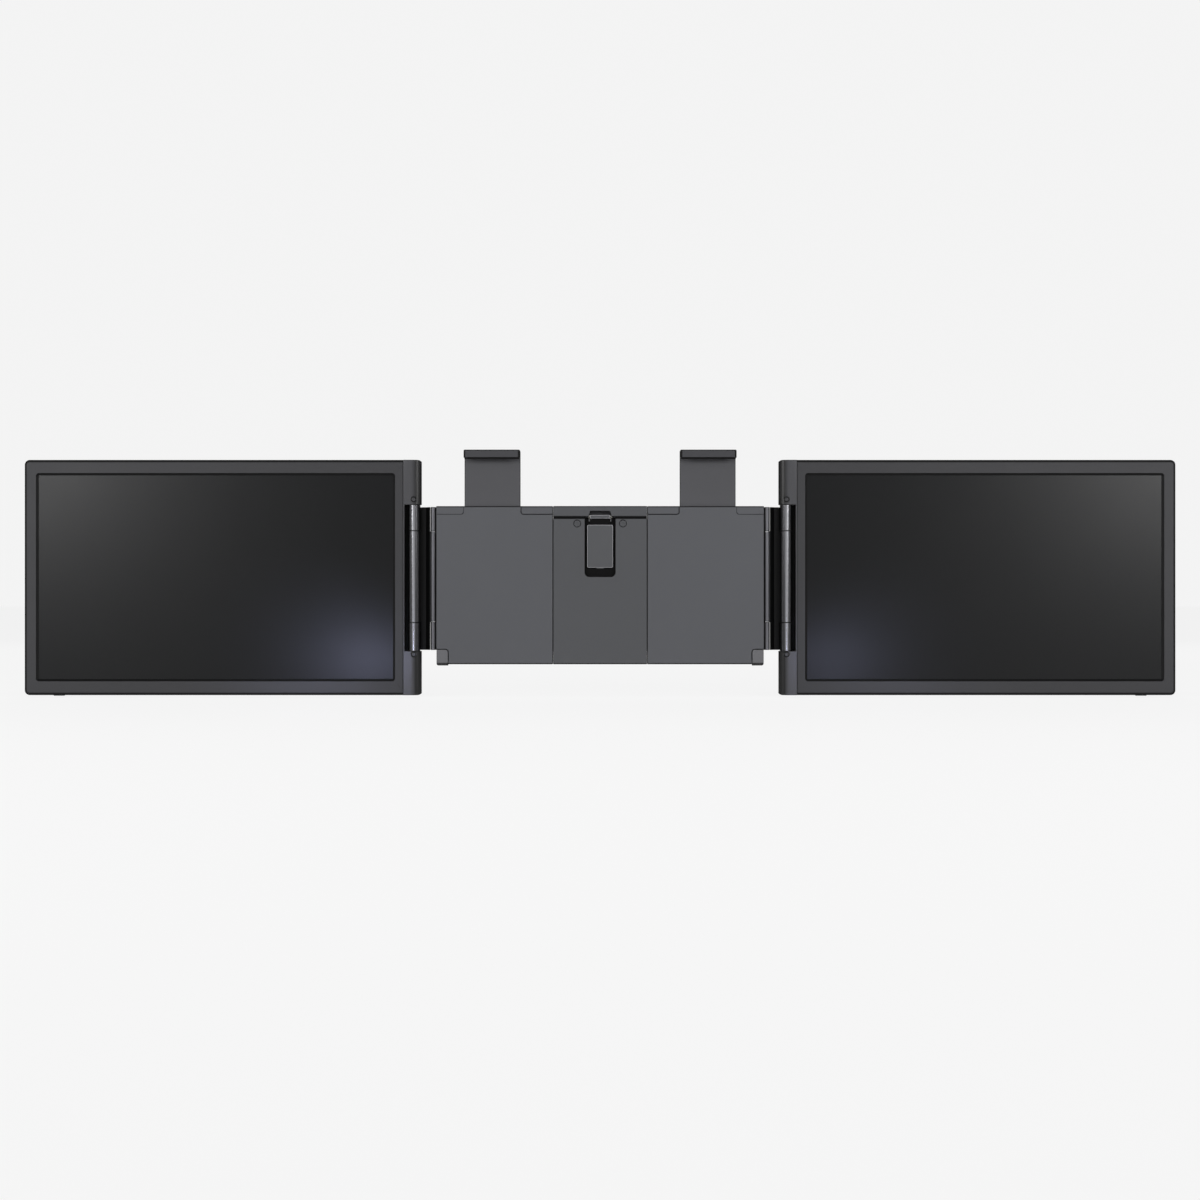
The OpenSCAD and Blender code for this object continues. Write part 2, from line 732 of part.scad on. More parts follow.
// The hook is one bent plate: up, forwards over the lid, and down as a lip with rounded ends
module clamp_plate(side) color([0.34, 0.34, 0.36]) on_side(side) difference() {
    back = clamp_y + clamp_t;
    front = lip_y - lip_t;
    nose_r = roof_t / 2;
    translate([clamp_mid - clamp_w / 2, 0, 0]) rotate([90, 0, 90]) linear_extrude(clamp_w) union() {
        polygon([
            [clamp_y, clamp_z0], [back, clamp_z0], [back, clamp_z1 - clamp_t],
            [back - clamp_t, clamp_z1], [front + nose_r, clamp_z1], [front, clamp_z1 - nose_r],
            [front, clamp_z1 - lip_h], [lip_y, clamp_z1 - lip_h],
            [lip_y, clamp_z1 - roof_t], [clamp_y, clamp_z1 - roof_t]
        ]);
        translate([front + nose_r, clamp_z1 - nose_r]) circle(nose_r);
        translate([back - clamp_t, clamp_z1 - clamp_t]) intersection() {
            circle(clamp_t);
            square(clamp_t);
        }
    }
    for (end = [-1, 1]) translate([clamp_mid + end * (clamp_w / 2 - lip_r), front + lip_r, 0])
        difference() {
            block([end < 0 ? -lip_r - over : 0, -lip_r - over, clamp_z1 - lip_h - over],
                  [end < 0 ? 0 : lip_r + over, 0, clamp_z1 + over]);
            cylinder(h = clamp_z1 + 2 * over, r = lip_r);
        }
}

// Rubber under the roof and behind the lip, showing a little below the lip
module clamp_pad(side) color([0.06, 0.06, 0.06]) on_side(side)
    translate([clamp_mid - clamp_w / 2 + pad_inset, 0, 0]) rotate([90, 0, 90])
    linear_extrude(clamp_w - 2 * pad_inset) polygon([
        [lip_y, clamp_z1 - lip_h - pad_t], [lip_y, clamp_z1 - roof_t],
        [clamp_y, clamp_z1 - roof_t], [clamp_y, clamp_z1 - roof_t - pad_t],
        [lip_y + pad_t, clamp_z1 - roof_t - pad_t], [lip_y + pad_t, clamp_z1 - lip_h - pad_t]
    ]);

module clamp_spring(side) color([0.7, 0.7, 0.7]) on_side(side)
    coil(clamp_mid, (wall + front_depth) / 2, clamp_z0 - spring_l, spring_l, 12, 1.2, 0.25);

// ---- Lower hooks ----

module lower_hook(side) color([0.5, 0.5, 0.51]) on_side(side) difference() {
    union() {
        block([hook_x0, hook_y - hook_r, hook_z], [hook_x1, hook_y - hook_r + hook_t, hook_tip]);
        block([hook_x0, hook_y - hook_r, hook_tip - hook_lip_t],
              [hook_x1, hook_y - hook_r + hook_t + hook_lip, hook_tip]);
        bar_x(hook_y, hook_z, hook_x0, hook_x1, hook_r);
    }
    corner_cut(hook_x0, hook_tip, -1, 1, recess_r - recess_gap, -hook_r, recess_y);
    corner_cut(hook_x1, hook_z - hook_r, 1, -1, hook_corner_r, -hook_r, recess_y);
    bar_x(hook_y, hook_z, hook_x0 - over, hook_x1 - hook_end, hook_pin_r + run_fit);
}

module hook_pin(side) color([0.7, 0.7, 0.72]) on_side(side)
    bar_x(hook_y, hook_z, hook_bore_x + 0.5, hook_x1 - hook_end - 0.4, hook_pin_r);

// ---- Links ----

module link_arm(side) color([0.07, 0.07, 0.07]) on_side(side) {
    top = upper_part - sleeve_gap / 2;
    foot = lower_part + sleeve_gap / 2;
    // distances are from the outer axis towards the inner one
    near = outer_r + 0.4;
    far = link_l - inner_r - 0.5;
    difference() {
        union() {
            translate([axis_x, hinge_y, 0]) mirror([1, 0, 0]) {
                translate([0, 0, hinge_z0]) linear_extrude(hinge_z1 - hinge_z0) polygon([
                    [near, arm_dip], [near + arm_rise, arm_dip], [far, -arm_front],
                    [far, arm_back], [near, arm_back + 0.6]
                ]);
                translate([0, 0, foot]) linear_extrude(top - foot) polygon([
                    [3, arm_dip], [near + arm_rise, arm_dip], [far, -arm_front],
                    [far + 1, -arm_front], [far + 1, arm_back], [3, arm_back + 0.2]
                ]);
                translate([0, 0, foot + joint_gap / 2]) linear_extrude(top - foot - joint_gap) polygon([
                    [far, -arm_front], [link_l, -arm_end], [link_l, arm_end], [far, arm_back]
                ]);
            }
            bar_z(axis_x, hinge_y, foot, top, outer_r);
            bar_z(pin_x, hinge_y, foot + joint_gap / 2, top - joint_gap / 2, inner_r);
        }
        bar_z(axis_x, hinge_y, foot - over, top + over, shaft_r + run_fit);
        bar_z(pin_x, hinge_y, foot, top, pin_r + run_fit);
    }
}

// ---- Screens ----

// The spine's section, with a rounded nose towards the bracket
function spine_outline() = let (
    flat = 2.9,
    reach = spine_nose + flat
) concat(
    [[spine_back, -spine_t / 2]],
    [for (a = [0:9:180]) [flat - reach * sin(a), -spine_t / 2 * cos(a)]],
    [[spine_back, spine_t / 2]]
);

module hinge_spine(side) color([0.3, 0.3, 0.31]) on_side(side) difference() {
    intersection() {
        translate([axis_x, hinge_y, screen_z0]) linear_extrude(screen_h) polygon(spine_outline());
        plate(axis_x - spine_nose - over, spine_x, screen_z0, screen_z1,
              hinge_y - spine_t, hinge_y + spine_t, [screen_r, 0]);
    }
    // the notch for the barrels
    block([axis_x - spine_nose - 2 * over, hinge_y - spine_t, notch_foot],
          [axis_x + outer_r + notch_gap, hinge_y + spine_t, notch_top]);
    bar_z(axis_x, hinge_y, notch_foot - shaft_grip - 0.5, notch_top + shaft_grip + 0.5,
          shaft_r + seat_fit);
    for (z = grub_places)
        bar_y(axis_x, z, hinge_y - spine_t, hinge_y - shaft_r + 0.5, grub_r + 0.05);
}

module screen_shaft(side) color([0.7, 0.7, 0.72]) on_side(side)
    bar_z(axis_x, hinge_y, notch_foot - shaft_grip, notch_top + shaft_grip, shaft_r);

module barrel_sleeves(side) color([0.22, 0.22, 0.23]) on_side(side) difference() {
    union() {
        bar_z(axis_x, hinge_y, notch_foot + 0.02, lower_part - sleeve_gap / 2, outer_r);
        bar_z(axis_x, hinge_y, upper_part + sleeve_gap / 2, notch_top - 0.02, outer_r);
    }
    bar_z(axis_x, hinge_y, notch_foot - over, notch_top + over, shaft_r + seat_fit);
}

module screen_screw_places() {
    mid = (spine_x + screen_x1) / 2;
    for (x = [spine_x + screw_inset_x, mid, screen_x1 - screw_inset_x])
        for (z = [screen_z0 + screw_inset_z, screen_z1 - screw_inset_z])
            translate([x, 0, z]) children();
}

module screen_bezel(side) color([0.29, 0.29, 0.3]) on_side(side) union() {
    difference() {
        plate(spine_x, screen_x1, screen_z0, screen_z1, screen_y0, glass_y, [0, screen_r]);
        funnel(window_x0, window_x0 + window_w, window_z0, window_z1,
               screen_y0 - 0.01, glass_y - 0.2, bevel);
        block([window_x0, screen_y0, window_z0], [window_x0 + window_w, glass_y + over, window_z1]);
    }
    screen_screw_places() boss(0, 0, glass_y - 0.5, screen_y1 - shell_t);
}

// The place of each port along the lower edge, with its width and height
function ports() = [[26, 9, 3.2], [42, 9, 3.2], [60, 11.4, 3.4]];
port_l = 7.4;
port_wall = 0.3;

module screen_rear_cover(side) color([0.2, 0.2, 0.21]) on_side(side) difference() {
    plate(spine_x, screen_x1, screen_z0, screen_z1, glass_y, screen_y1, [0, screen_r]);
    block([spine_x + shell_t, glass_y - over, screen_z0 + shell_t],
          [screen_x1 - shell_t, screen_y1 - shell_t, screen_z1 - shell_t]);
    for (p = ports()) block([spine_x + p[0] - slip / 2, board_y - p[2] - slip / 2, screen_z0 - over],
        [spine_x + p[0] + p[1] + slip / 2, board_y + slip / 2, screen_z0 + shell_t + over]);
    // the control key's window
    block([key_x - key_w / 2 - 0.15, hinge_y - key_t / 2 - 0.15, screen_z0 - over],
          [key_x + key_w / 2 + 0.15, hinge_y + key_t / 2 + 0.15, screen_z0 + shell_t + over]);
    screen_screw_places() rear_screw_hole(0, 0, screen_y1);
}

module display_panel(side) color([0.05, 0.05, 0.06]) on_side(side)
    block([window_x0 - panel_lap, glass_y, window_z0 - panel_lap],
          [window_x0 + window_w + panel_lap, glass_y + panel_t, window_z1 + panel_lap]);

module backlight(side) color([0.9, 0.9, 0.9]) on_side(side)
    block([window_x0 - panel_lap + 0.5, glass_y + panel_t, window_z0 - panel_lap + 0.5],
          [window_x0 + window_w + panel_lap - 0.5, glass_y + panel_t + backlight_t,
           window_z1 + panel_lap - 0.5]);

module driver_board(side) color([0.1, 0.3, 0.15]) on_side(side) {
    z0 = screen_z0 + shell_t + 0.4;
    block([board_x, board_y, z0], [board_x + board_w, board_y + board_t, z0 + board_h]);
}

module port_shells(side) color([0.7, 0.7, 0.72]) on_side(side) for (p = ports()) difference() {
    block([spine_x + p[0], board_y - p[2], screen_z0 + 0.3],
          [spine_x + p[0] + p[1], board_y, screen_z0 + 0.3 + port_l]);
    block([spine_x + p[0] + port_wall, board_y - p[2] + port_wall, screen_z0 - over],
          [spine_x + p[0] + p[1] - port_wall, board_y - port_wall, screen_z0 + port_l - 1]);
}

module screen_screws(side) color([0.1, 0.1, 0.1]) on_side(side) {
    screen_screw_places() rear_screw(0, 0, screen_y1, 4.4);
    // grub screws that hold the shaft
    for (z = grub_places) difference() {
        bar_y(axis_x, z, hinge_y - spine_t / 2 + 0.2, hinge_y - shaft_r, grub_r);
        bar_y(axis_x, z, hinge_y - spine_t, hinge_y - spine_t / 2 + 1.2, grub_socket_r);
    }
}

module control_key(side) color([0.15, 0.15, 0.15]) on_side(side) union() {
    block([key_x - key_w / 2, hinge_y - key_t / 2, screen_z0 - key_proud],
          [key_x + key_w / 2, hinge_y + key_t / 2, screen_z0 + shell_t + 1]);
    block([key_x - key_w / 2 - key_flange, hinge_y - key_t / 2 - 0.6, screen_z0 + shell_t + 0.2],
          [key_x + key_w / 2 + key_flange, hinge_y + key_t / 2 + 0.6, screen_z0 + shell_t + 1]);
}

centre_front_plate();
centre_rear_shell();
centre_top_trim();
centre_screws();
slide_guides();
lock_pocket();
lock_slider();
lock_shoe();
lock_spring();
kickstand();
kickstand_foot();
kickstand_pin();
wing_front_cover(-1);  // wing_front_cover_left
wing_front_cover(1);  // wing_front_cover_right
wing_rear_cover(-1);  // wing_rear_cover_left
wing_rear_cover(1);  // wing_rear_cover_right
wing_screws(-1);  // wing_screws_left
wing_screws(1);  // wing_screws_right
slide_plate(-1);  // slide_plate_left
slide_plate(1);  // slide_plate_right
hinge_leaf(-1);  // hinge_leaf_left
hinge_leaf(1);  // hinge_leaf_right
link_pin(-1);  // link_pin_left
link_pin(1);  // link_pin_right
clamp_plate(-1);  // clamp_plate_left
clamp_plate(1);  // clamp_plate_right
clamp_pad(-1);  // clamp_pad_left
clamp_pad(1);  // clamp_pad_right
clamp_spring(-1);  // clamp_spring_left
clamp_spring(1);  // clamp_spring_right
lower_hook(-1);  // lower_hook_left
lower_hook(1);  // lower_hook_right
hook_pin(-1);  // hook_pin_left
hook_pin(1);  // hook_pin_right
link_arm(-1);  // link_arm_left
link_arm(1);  // link_arm_right
screen_bezel(-1);  // screen_bezel_left
screen_bezel(1);  // screen_bezel_right
screen_rear_cover(-1);  // screen_rear_cover_left
screen_rear_cover(1);  // screen_rear_cover_right
hinge_spine(-1);  // hinge_spine_left
hinge_spine(1);  // hinge_spine_right
screen_shaft(-1);  // screen_shaft_left
screen_shaft(1);  // screen_shaft_right
barrel_sleeves(-1);  // barrel_sleeves_left
barrel_sleeves(1);  // barrel_sleeves_right
display_panel(-1);  // display_panel_left
display_panel(1);  // display_panel_right
backlight(-1);  // backlight_left
backlight(1);  // backlight_right
driver_board(-1);  // driver_board_left
driver_board(1);  // driver_board_right
port_shells(-1);  // port_shells_left
port_shells(1);  // port_shells_right
screen_screws(-1);  // screen_screws_left
screen_screws(1);  // screen_screws_right
control_key(-1);  // control_key_left
control_key(1);  // control_key_right
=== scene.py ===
"""Looks of the laptop screen extender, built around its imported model.

The bracket's satin covers, the dark hinges and the two displays are dressed here. All sizes are in
millimetres until they reach a mesh, where MM turns them into Blender's metres. X points to the
viewer's right, Y away from the viewer and Z up, and each finished piece keeps its object at the
origin.
"""

import logging
import math
from dataclasses import dataclass, field
from enum import Enum

import bmesh
import bpy
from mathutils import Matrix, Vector


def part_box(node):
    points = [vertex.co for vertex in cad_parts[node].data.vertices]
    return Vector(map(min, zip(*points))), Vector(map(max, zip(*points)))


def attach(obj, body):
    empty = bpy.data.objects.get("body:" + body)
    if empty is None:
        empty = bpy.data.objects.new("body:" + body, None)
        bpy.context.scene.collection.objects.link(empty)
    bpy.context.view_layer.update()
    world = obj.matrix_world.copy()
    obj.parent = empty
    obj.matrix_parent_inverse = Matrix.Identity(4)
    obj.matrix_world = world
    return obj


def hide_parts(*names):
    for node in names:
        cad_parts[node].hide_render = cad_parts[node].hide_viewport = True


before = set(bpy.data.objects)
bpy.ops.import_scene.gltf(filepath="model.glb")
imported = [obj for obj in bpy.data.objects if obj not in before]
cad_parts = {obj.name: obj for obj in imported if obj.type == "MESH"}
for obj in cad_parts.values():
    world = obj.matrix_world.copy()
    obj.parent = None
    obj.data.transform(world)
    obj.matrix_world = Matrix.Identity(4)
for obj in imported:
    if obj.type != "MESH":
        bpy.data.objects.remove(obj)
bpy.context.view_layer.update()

MM = 0.001
SEED = 7

# How near two points are taken as one, in metres: in a new mesh, in a CAD mesh's seams, on a dividing
# plane, and where a rounded mesh is closed.
SAME_POINT = 1e-6
CAD_SEAM = 2e-6
ON_PLANE = 1e-7
CLOSE_GAP = 3e-6
SLIVER = 2e-6
# Neighbouring faces that differ by less than this many degrees are one flat face.
FLAT_ANGLE = 0.6

# How wide edges are rounded, in millimetres: bent sheet and pads, covers and solid pieces, the outlines of
# the rear covers, the outlines of the front covers, and thin strips.
SHEET_ROUND = 0.2
COVER_ROUND = 0.4
REAR_RIM = 1.2
FRONT_RIM = 1.5
STRIP_ROUND = 0.12

# How fine the marks in the finishes are, in cells per metre: broad unevenness, clouds and dust.
UNEVEN_SCALE = 22.0
CLOUD_SCALE = 13.0
DUST_SCALE = 900.0
# The noise levels between which a speck of dust grows from nothing to full strength.
DUST_FROM, DUST_FULL = 0.72, 0.8
# How far lines are drawn out along Z: the scale of their noise in X, Y and Z.
DRAWN_OUT = (1.0, 1.0, 0.01)

log = logging.getLogger("screen_extender")

Point = tuple[float, float, float]
Ring = list[Point]


class Side(Enum):
    """The half of the extender that a sub-assembly belongs to."""

    LEFT = -1
    RIGHT = 1

    @property
    def word(self) -> str:
        """The side's word in the names of nodes, bodies and pieces."""
        return self.name.lower()


class Drive(Enum):
    """The recess in a screw's head."""

    CROSS = "cross"
    HEX = "hex"


# ---- Shader groups and finishes ----


def linear(level: float) -> float:
    """One sRGB channel from 0 to 255 as linear light."""
    share = level / 255
    return share / 12.92 if share <= 0.04045 else ((share + 0.055) / 1.055) ** 2.4


def colour(rgb: tuple[float, float, float]) -> tuple[float, float, float, float]:
    """An sRGB colour from 0 to 255 as Blender's linear colour."""
    return (*(linear(level) for level in rgb), 1.0)


@dataclass
class Nodes:
    """A thin wrapper that adds and links nodes in one tree.

    Args:
        tree: the shader or geometry tree that is being built.
    """

    tree: bpy.types.NodeTree

    def add(self, kind: str, inputs: dict | None = None, **settings) -> bpy.types.Node:
        """Adds a node.

        Args:
            kind: Blender's name of the node's type.
            inputs: values or sockets for its inputs, by name or index.
            settings: the node's own properties.

        Returns:
            The new node.
        """
        node = self.tree.nodes.new(kind)
        for name, value in settings.items():
            setattr(node, name, value)
        for key, value in (inputs or {}).items():
            self.join(value, node.inputs[key])
        return node

    def join(self, value: object, socket: bpy.types.NodeSocket) -> None:
        """Links an output to a socket, or sets the socket's own value."""
        if isinstance(value, bpy.types.NodeSocket):
            self.tree.links.new(value, socket)
        else:
            socket.default_value = value

    def maths(self, operation: str, *values: object) -> bpy.types.NodeSocket:
        """One Math node's result.

        Args:
            operation: the node's operation.
            values: up to three numbers or sockets.

        Returns:
            The node's output.
        """
        node = self.add("ShaderNodeMath", operation=operation)
        for socket, value in zip(node.inputs, values):
            self.join(value, socket)
        return node.outputs[0]


class Groups:
    """The shader groups that several finishes share, each built once."""

    @staticmethod
    def make(name: str, inputs: dict[str, float], outputs: list[str]) -> tuple:
        """Starts a group with number inputs and outputs.

        Args:
            name: the group's name.
            inputs: each input's name and default.
            outputs: each output's name.

        Returns:
            The tree's wrapper, its input node and its output node.
        """
        tree = bpy.data.node_groups.new(name, "ShaderNodeTree")
        for key, value in inputs.items():
            socket = tree.interface.new_socket(key, in_out="INPUT", socket_type="NodeSocketFloat")
            socket.default_value = value
        for key in outputs:
            tree.interface.new_socket(key, in_out="OUTPUT", socket_type="NodeSocketFloat")
        nodes = Nodes(tree)
        return nodes, nodes.add("NodeGroupInput"), nodes.add("NodeGroupOutput")

    @classmethod
    def grain(cls) -> bpy.types.NodeTree:
        """Fine paint or mould grain: a height, and a roughness that varies round its middle."""
        name = "fine_grain"
        if name in bpy.data.node_groups:
            return bpy.data.node_groups[name]
        nodes, start, end = cls.make(
            name, {"Scale": 1500, "Roughness": 0.5, "Spread": 0.08}, ["Roughness", "Height"]
        )
        place = nodes.add("ShaderNodeTexCoord").outputs["Object"]
        fine = nodes.add(
            "ShaderNodeTexNoise",
            {"Vector": place, "Scale": start.outputs["Scale"], "Detail": 3.0, "Roughness": 0.6},
        ).outputs[0]
        broad = nodes.add(
            "ShaderNodeTexNoise", {"Vector": place, "Scale": UNEVEN_SCALE, "Detail": 4.0}
        ).outputs[0]
        both = nodes.maths("MULTIPLY", nodes.maths("ADD", fine, broad), 0.5)
        swing = nodes.maths("MULTIPLY", nodes.maths("SUBTRACT", both, 0.5), start.outputs["Spread"])
        rough = nodes.maths("ADD", start.outputs["Roughness"], nodes.maths("MULTIPLY", swing, 4.0))
        nodes.join(rough, end.inputs["Roughness"])
        nodes.join(fine, end.inputs["Height"])
        return nodes.tree

    @classmethod
    def handling(cls) -> bpy.types.NodeTree:
        """Marks of handling: a broad cloudiness and sparse fine specks, as one mask."""
        name = "handling_marks"
        if name in bpy.data.node_groups:
            return bpy.data.node_groups[name]
        nodes, start, end = cls.make(name, {"Cloud": 0.5, "Specks": 0.3}, ["Mask"])
        place = nodes.add("ShaderNodeTexCoord").outputs["Object"]
        cloud = nodes.add(
            "ShaderNodeTexNoise", {"Vector": place, "Scale": CLOUD_SCALE, "Detail": 5.0, "Roughness": 0.55}
        ).outputs[0]
        dust = nodes.add(
            "ShaderNodeTexNoise", {"Vector": place, "Scale": DUST_SCALE, "Detail": 2.0}
        ).outputs[0]
        specks = nodes.add(
            "ShaderNodeMapRange",
            {"Value": dust, "From Min": DUST_FROM, "From Max": DUST_FULL},
        ).outputs[0]
        soft = nodes.maths("MULTIPLY", cloud, start.outputs["Cloud"])
        sharp = nodes.maths("MULTIPLY", specks, start.outputs["Specks"])
        nodes.join(nodes.maths("ADD", soft, sharp), end.inputs["Mask"])
        return nodes.tree

    @classmethod
    def turned_edge(cls) -> bpy.types.NodeTree:
        """Mask for painted edge light and shade, growing where a surface turns from front and back."""
        name = "turned_edge"
        if name in bpy.data.node_groups:
            return bpy.data.node_groups[name]
        nodes, start, end = cls.make(name, {"Amount": 0.7, "Start": 0.985, "End": 0.9}, ["Mask"])
        normal = nodes.add("ShaderNodeTexCoord").outputs["Normal"]
        parts = nodes.add("ShaderNodeSeparateXYZ", {0: normal})
        facing = nodes.maths("ABSOLUTE", parts.outputs["Y"])
        turned = nodes.add(
            "ShaderNodeMapRange",
            {"Value": facing, "From Min": start.outputs["Start"], "From Max": start.outputs["End"]},
        ).outputs[0]
        nodes.join(nodes.maths("MULTIPLY", turned, start.outputs["Amount"]), end.inputs["Mask"])
        return nodes.tree

    @classmethod
    def brushing(cls) -> bpy.types.NodeTree:
        """Fine lines along Z, as drawn or brushed metal has: a roughness and a height."""
        name = "brushed_lines"
        if name in bpy.data.node_groups:
            return bpy.data.node_groups[name]
        nodes, start, end = cls.make(
            name, {"Scale": 2500, "Roughness": 0.35, "Spread": 0.1}, ["Roughness", "Height"]
        )
        place = nodes.add("ShaderNodeTexCoord").outputs["Object"]
        drawn = nodes.add(
            "ShaderNodeMapping", {"Vector": place, "Scale": DRAWN_OUT}
        ).outputs[0]
        lines = nodes.add(
            "ShaderNodeTexNoise", {"Vector": drawn, "Scale": start.outputs["Scale"], "Detail": 2.0}
        ).outputs[0]
        swing = nodes.maths("MULTIPLY", nodes.maths("SUBTRACT", lines, 0.5), start.outputs["Spread"])
        nodes.join(nodes.maths("ADD", start.outputs["Roughness"], swing), end.inputs["Roughness"])
        nodes.join(lines, end.inputs["Height"])
        return nodes.tree


# How dark the painted shade on rolled edges is, as a share of the colour, where no edge colour is given.
EDGE_SHADE = 0.1


@dataclass(frozen=True)
class Finish:
    """A surface finish, built as one procedural material.

    Args:
        name: the material's name.
        rgb: the surface's colour, sRGB 0 to 255.
        worn_rgb: the colour towards which handling shifts it.
        roughness: the middle of its roughness.
        spread: how far the roughness varies.
        specular: the shader's specular level.
        metallic: 1 for bare metal.
        grain: how fine the grain is, in cells per metre.
        relief: the grain's height in millimetres.
        cloud: how strong the cloudiness is.
        specks: how strong the specks are.
        brushed: whether the grain is drawn out along Z.
        edge: how far the colour shifts on rolled edges, as painted shade, or as a painted highlight
            where the edge colour is lighter.
        edge_rgb: the colour painted on rolled edges, or None for a much darker one.
        edge_span: how squarely a surface faces front or back where the painted edge colour starts
            and where it is full.
    """

    name: str
    rgb: tuple[float, float, float]
    worn_rgb: tuple[float, float, float]
    roughness: float = 0.5
    spread: float = 0.06
    specular: float = 0.3
    metallic: float = 0.0
    grain: float = 1500.0
    relief: float = 0.01
    cloud: float = 0.6
    specks: float = 0.25
    brushed: bool = False
    edge: float = 0.0
    edge_rgb: tuple[float, float, float] | None = None
    edge_span: tuple[float, float] = (0.985, 0.9)

    def material(self) -> bpy.types.Material:
        """The finish's material, built on first use.

        Returns:
            The material.
        """
        if self.name in bpy.data.materials:
            return bpy.data.materials[self.name]
        made = bpy.data.materials.new(self.name)
        made.use_nodes = True
        made.node_tree.nodes.clear()
        nodes = Nodes(made.node_tree)
        marks = nodes.add("ShaderNodeGroup", node_tree=Groups.handling())
        marks.inputs["Cloud"].default_value = self.cloud
        marks.inputs["Specks"].default_value = self.specks
        tint = nodes.add(
            "ShaderNodeMix",
            {0: marks.outputs["Mask"], 6: colour(self.rgb), 7: colour(self.worn_rgb)},
            data_type="RGBA",
            clamp_factor=True,
        )
        base = tint.outputs[2]
        # Painted shade on rolled edges, or a painted highlight where the edge colour is lighter.
        if self.edge:
            turned = nodes.add("ShaderNodeGroup", node_tree=Groups.turned_edge())
            turned.inputs["Amount"].default_value = self.edge
            turned.inputs["Start"].default_value, turned.inputs["End"].default_value = self.edge_span
            dark = self.edge_rgb or tuple(level * EDGE_SHADE for level in self.rgb)
            base = nodes.add(
                "ShaderNodeMix", {0: turned.outputs["Mask"], 6: base, 7: colour(dark)},
                data_type="RGBA", clamp_factor=True,
            ).outputs[2]
        texture = Groups.brushing() if self.brushed else Groups.grain()
        grain = nodes.add("ShaderNodeGroup", node_tree=texture)
        grain.inputs["Scale"].default_value = self.grain
        grain.inputs["Roughness"].default_value = self.roughness
        grain.inputs["Spread"].default_value = self.spread
        bump = nodes.add(
            "ShaderNodeBump",
            {"Strength": 1.0, "Distance": self.relief * MM, "Height": grain.outputs["Height"]},
        )
        shader = nodes.add(
            "ShaderNodeBsdfPrincipled",
            {
                "Base Color": base,
                "Roughness": grain.outputs["Roughness"],
                "Metallic": self.metallic,
                "Specular IOR Level": self.specular,
                "Normal": bump.outputs[0],
            },
        )
        nodes.add("ShaderNodeOutputMaterial", {"Surface": shader.outputs[0]})
        return made


# Edge amounts below are painted shade: rolled edges that turn from the front are painted darker.
PANEL = Finish("satin_panel_paint", (79, 80, 84), (86, 87, 91), 0.55, edge=0.95)
CENTRE_PANEL = Finish("satin_centre_paint", (73, 74, 77), (79, 80, 83), 0.55, edge=0.95)
REAR_PAINT = Finish("satin_rear_paint", (70, 70, 73), (76, 76, 79), 0.58, edge=0.5)
CLAMP_PAINT = Finish("clamp_satin", (79, 79, 82), (86, 86, 89), 0.5, specular=0.15, edge=0.97)
# A darker copy of the clamp's paint: painted shade on its lip.
CLAMP_LIP_SHADE = Finish("clamp_lip_satin", (64, 64, 67), (70, 70, 73), 0.5, specular=0.15, edge=0.97)
# The thumb plate's pale edge colour is a painted highlight along its rolled edges.
LOCK_PAINT = Finish(
    "thumb_plate_paint", (72, 73, 76), (80, 81, 84), 0.42, specular=0.4, edge=0.8, edge_rgb=(190, 190, 195)
)
BEZEL = Finish(
    "bezel_mould", (60, 60, 62), (66, 66, 68), 0.5, specular=0.14, edge=0.97, edge_span=(0.997, 0.97)
)
SCREEN_BACK = Finish("screen_back_plastic", (56, 56, 59), (63, 63, 66), 0.55, specular=0.3, edge=0.7)
SPINE_METAL = Finish(
    "spine_anodised", (70, 70, 73), (76, 76, 79), 0.34, metallic=0.35, specular=0.4, relief=0.003,
    brushed=True, edge=0.97, edge_span=(0.998, 0.96),
)
# Painted highlight down each barrel's middle, with painted shade at its sides from the dark edge colour.
BARREL_METAL = Finish(
    "barrel_anodised", (146, 146, 150), (156, 156, 160), 0.22, 0.06, specular=0.4, metallic=0.9,
    relief=0.003, brushed=True, edge=1.0, edge_rgb=(58, 58, 60), edge_span=(0.998, 0.955),
)
LEAF_METAL = Finish(
    "leaf_satin_metal", (90, 90, 95), (98, 98, 103), 0.36, metallic=0.4, specular=0.4, brushed=True,
    relief=0.004, edge=0.9, edge_span=(0.97, 0.8),
)
HOOK_PAINT = Finish("hook_satin", (96, 96, 99), (105, 105, 108), 0.45, specular=0.3, edge=0.97)
BLACK_PLASTIC = Finish("black_mould", (5, 5, 6), (9, 9, 10), 0.5, specular=0.1)
LINK_BLACK = Finish("link_black", (7, 7, 8), (11, 11, 12), 0.45, specular=0.1, edge=0.6)
RUBBER = Finish("soft_rubber", (22, 22, 22), (30, 30, 30), 0.85, specular=0.2, grain=900, relief=0.03)
PLATE_STEEL = Finish(
    "sheet_steel", (112, 112, 114), (122, 122, 124), 0.38, metallic=0.9, specular=0.5, brushed=True
)
BRIGHT_STEEL = Finish(
    "polished_steel", (176, 176, 178), (186, 186, 188), 0.28, metallic=1.0, specular=0.5, brushed=True
)
SCREW_STEEL = Finish(
    "black_screw_steel", (38, 38, 40), (60, 60, 62), 0.35, metallic=0.7, specular=0.5, relief=0.005
)
PALE_NYLON = Finish("pale_nylon", (214, 212, 206), (204, 202, 196), 0.6)
BACKLIGHT_WHITE = Finish("backlight_white", (226, 226, 226), (218, 218, 216), 0.5)
BOARD_GREEN = Finish("board_green", (22, 74, 44), (30, 88, 54), 0.45, specular=0.5, grain=700)
DISPLAY = Finish(
    "display_antiglare", (7, 8, 10), (9, 10, 12), 0.3, 0.02, specular=0.21, grain=3200,
    relief=0.002, cloud=0.5, specks=0.02,
)


# ---- Mesh tools ----


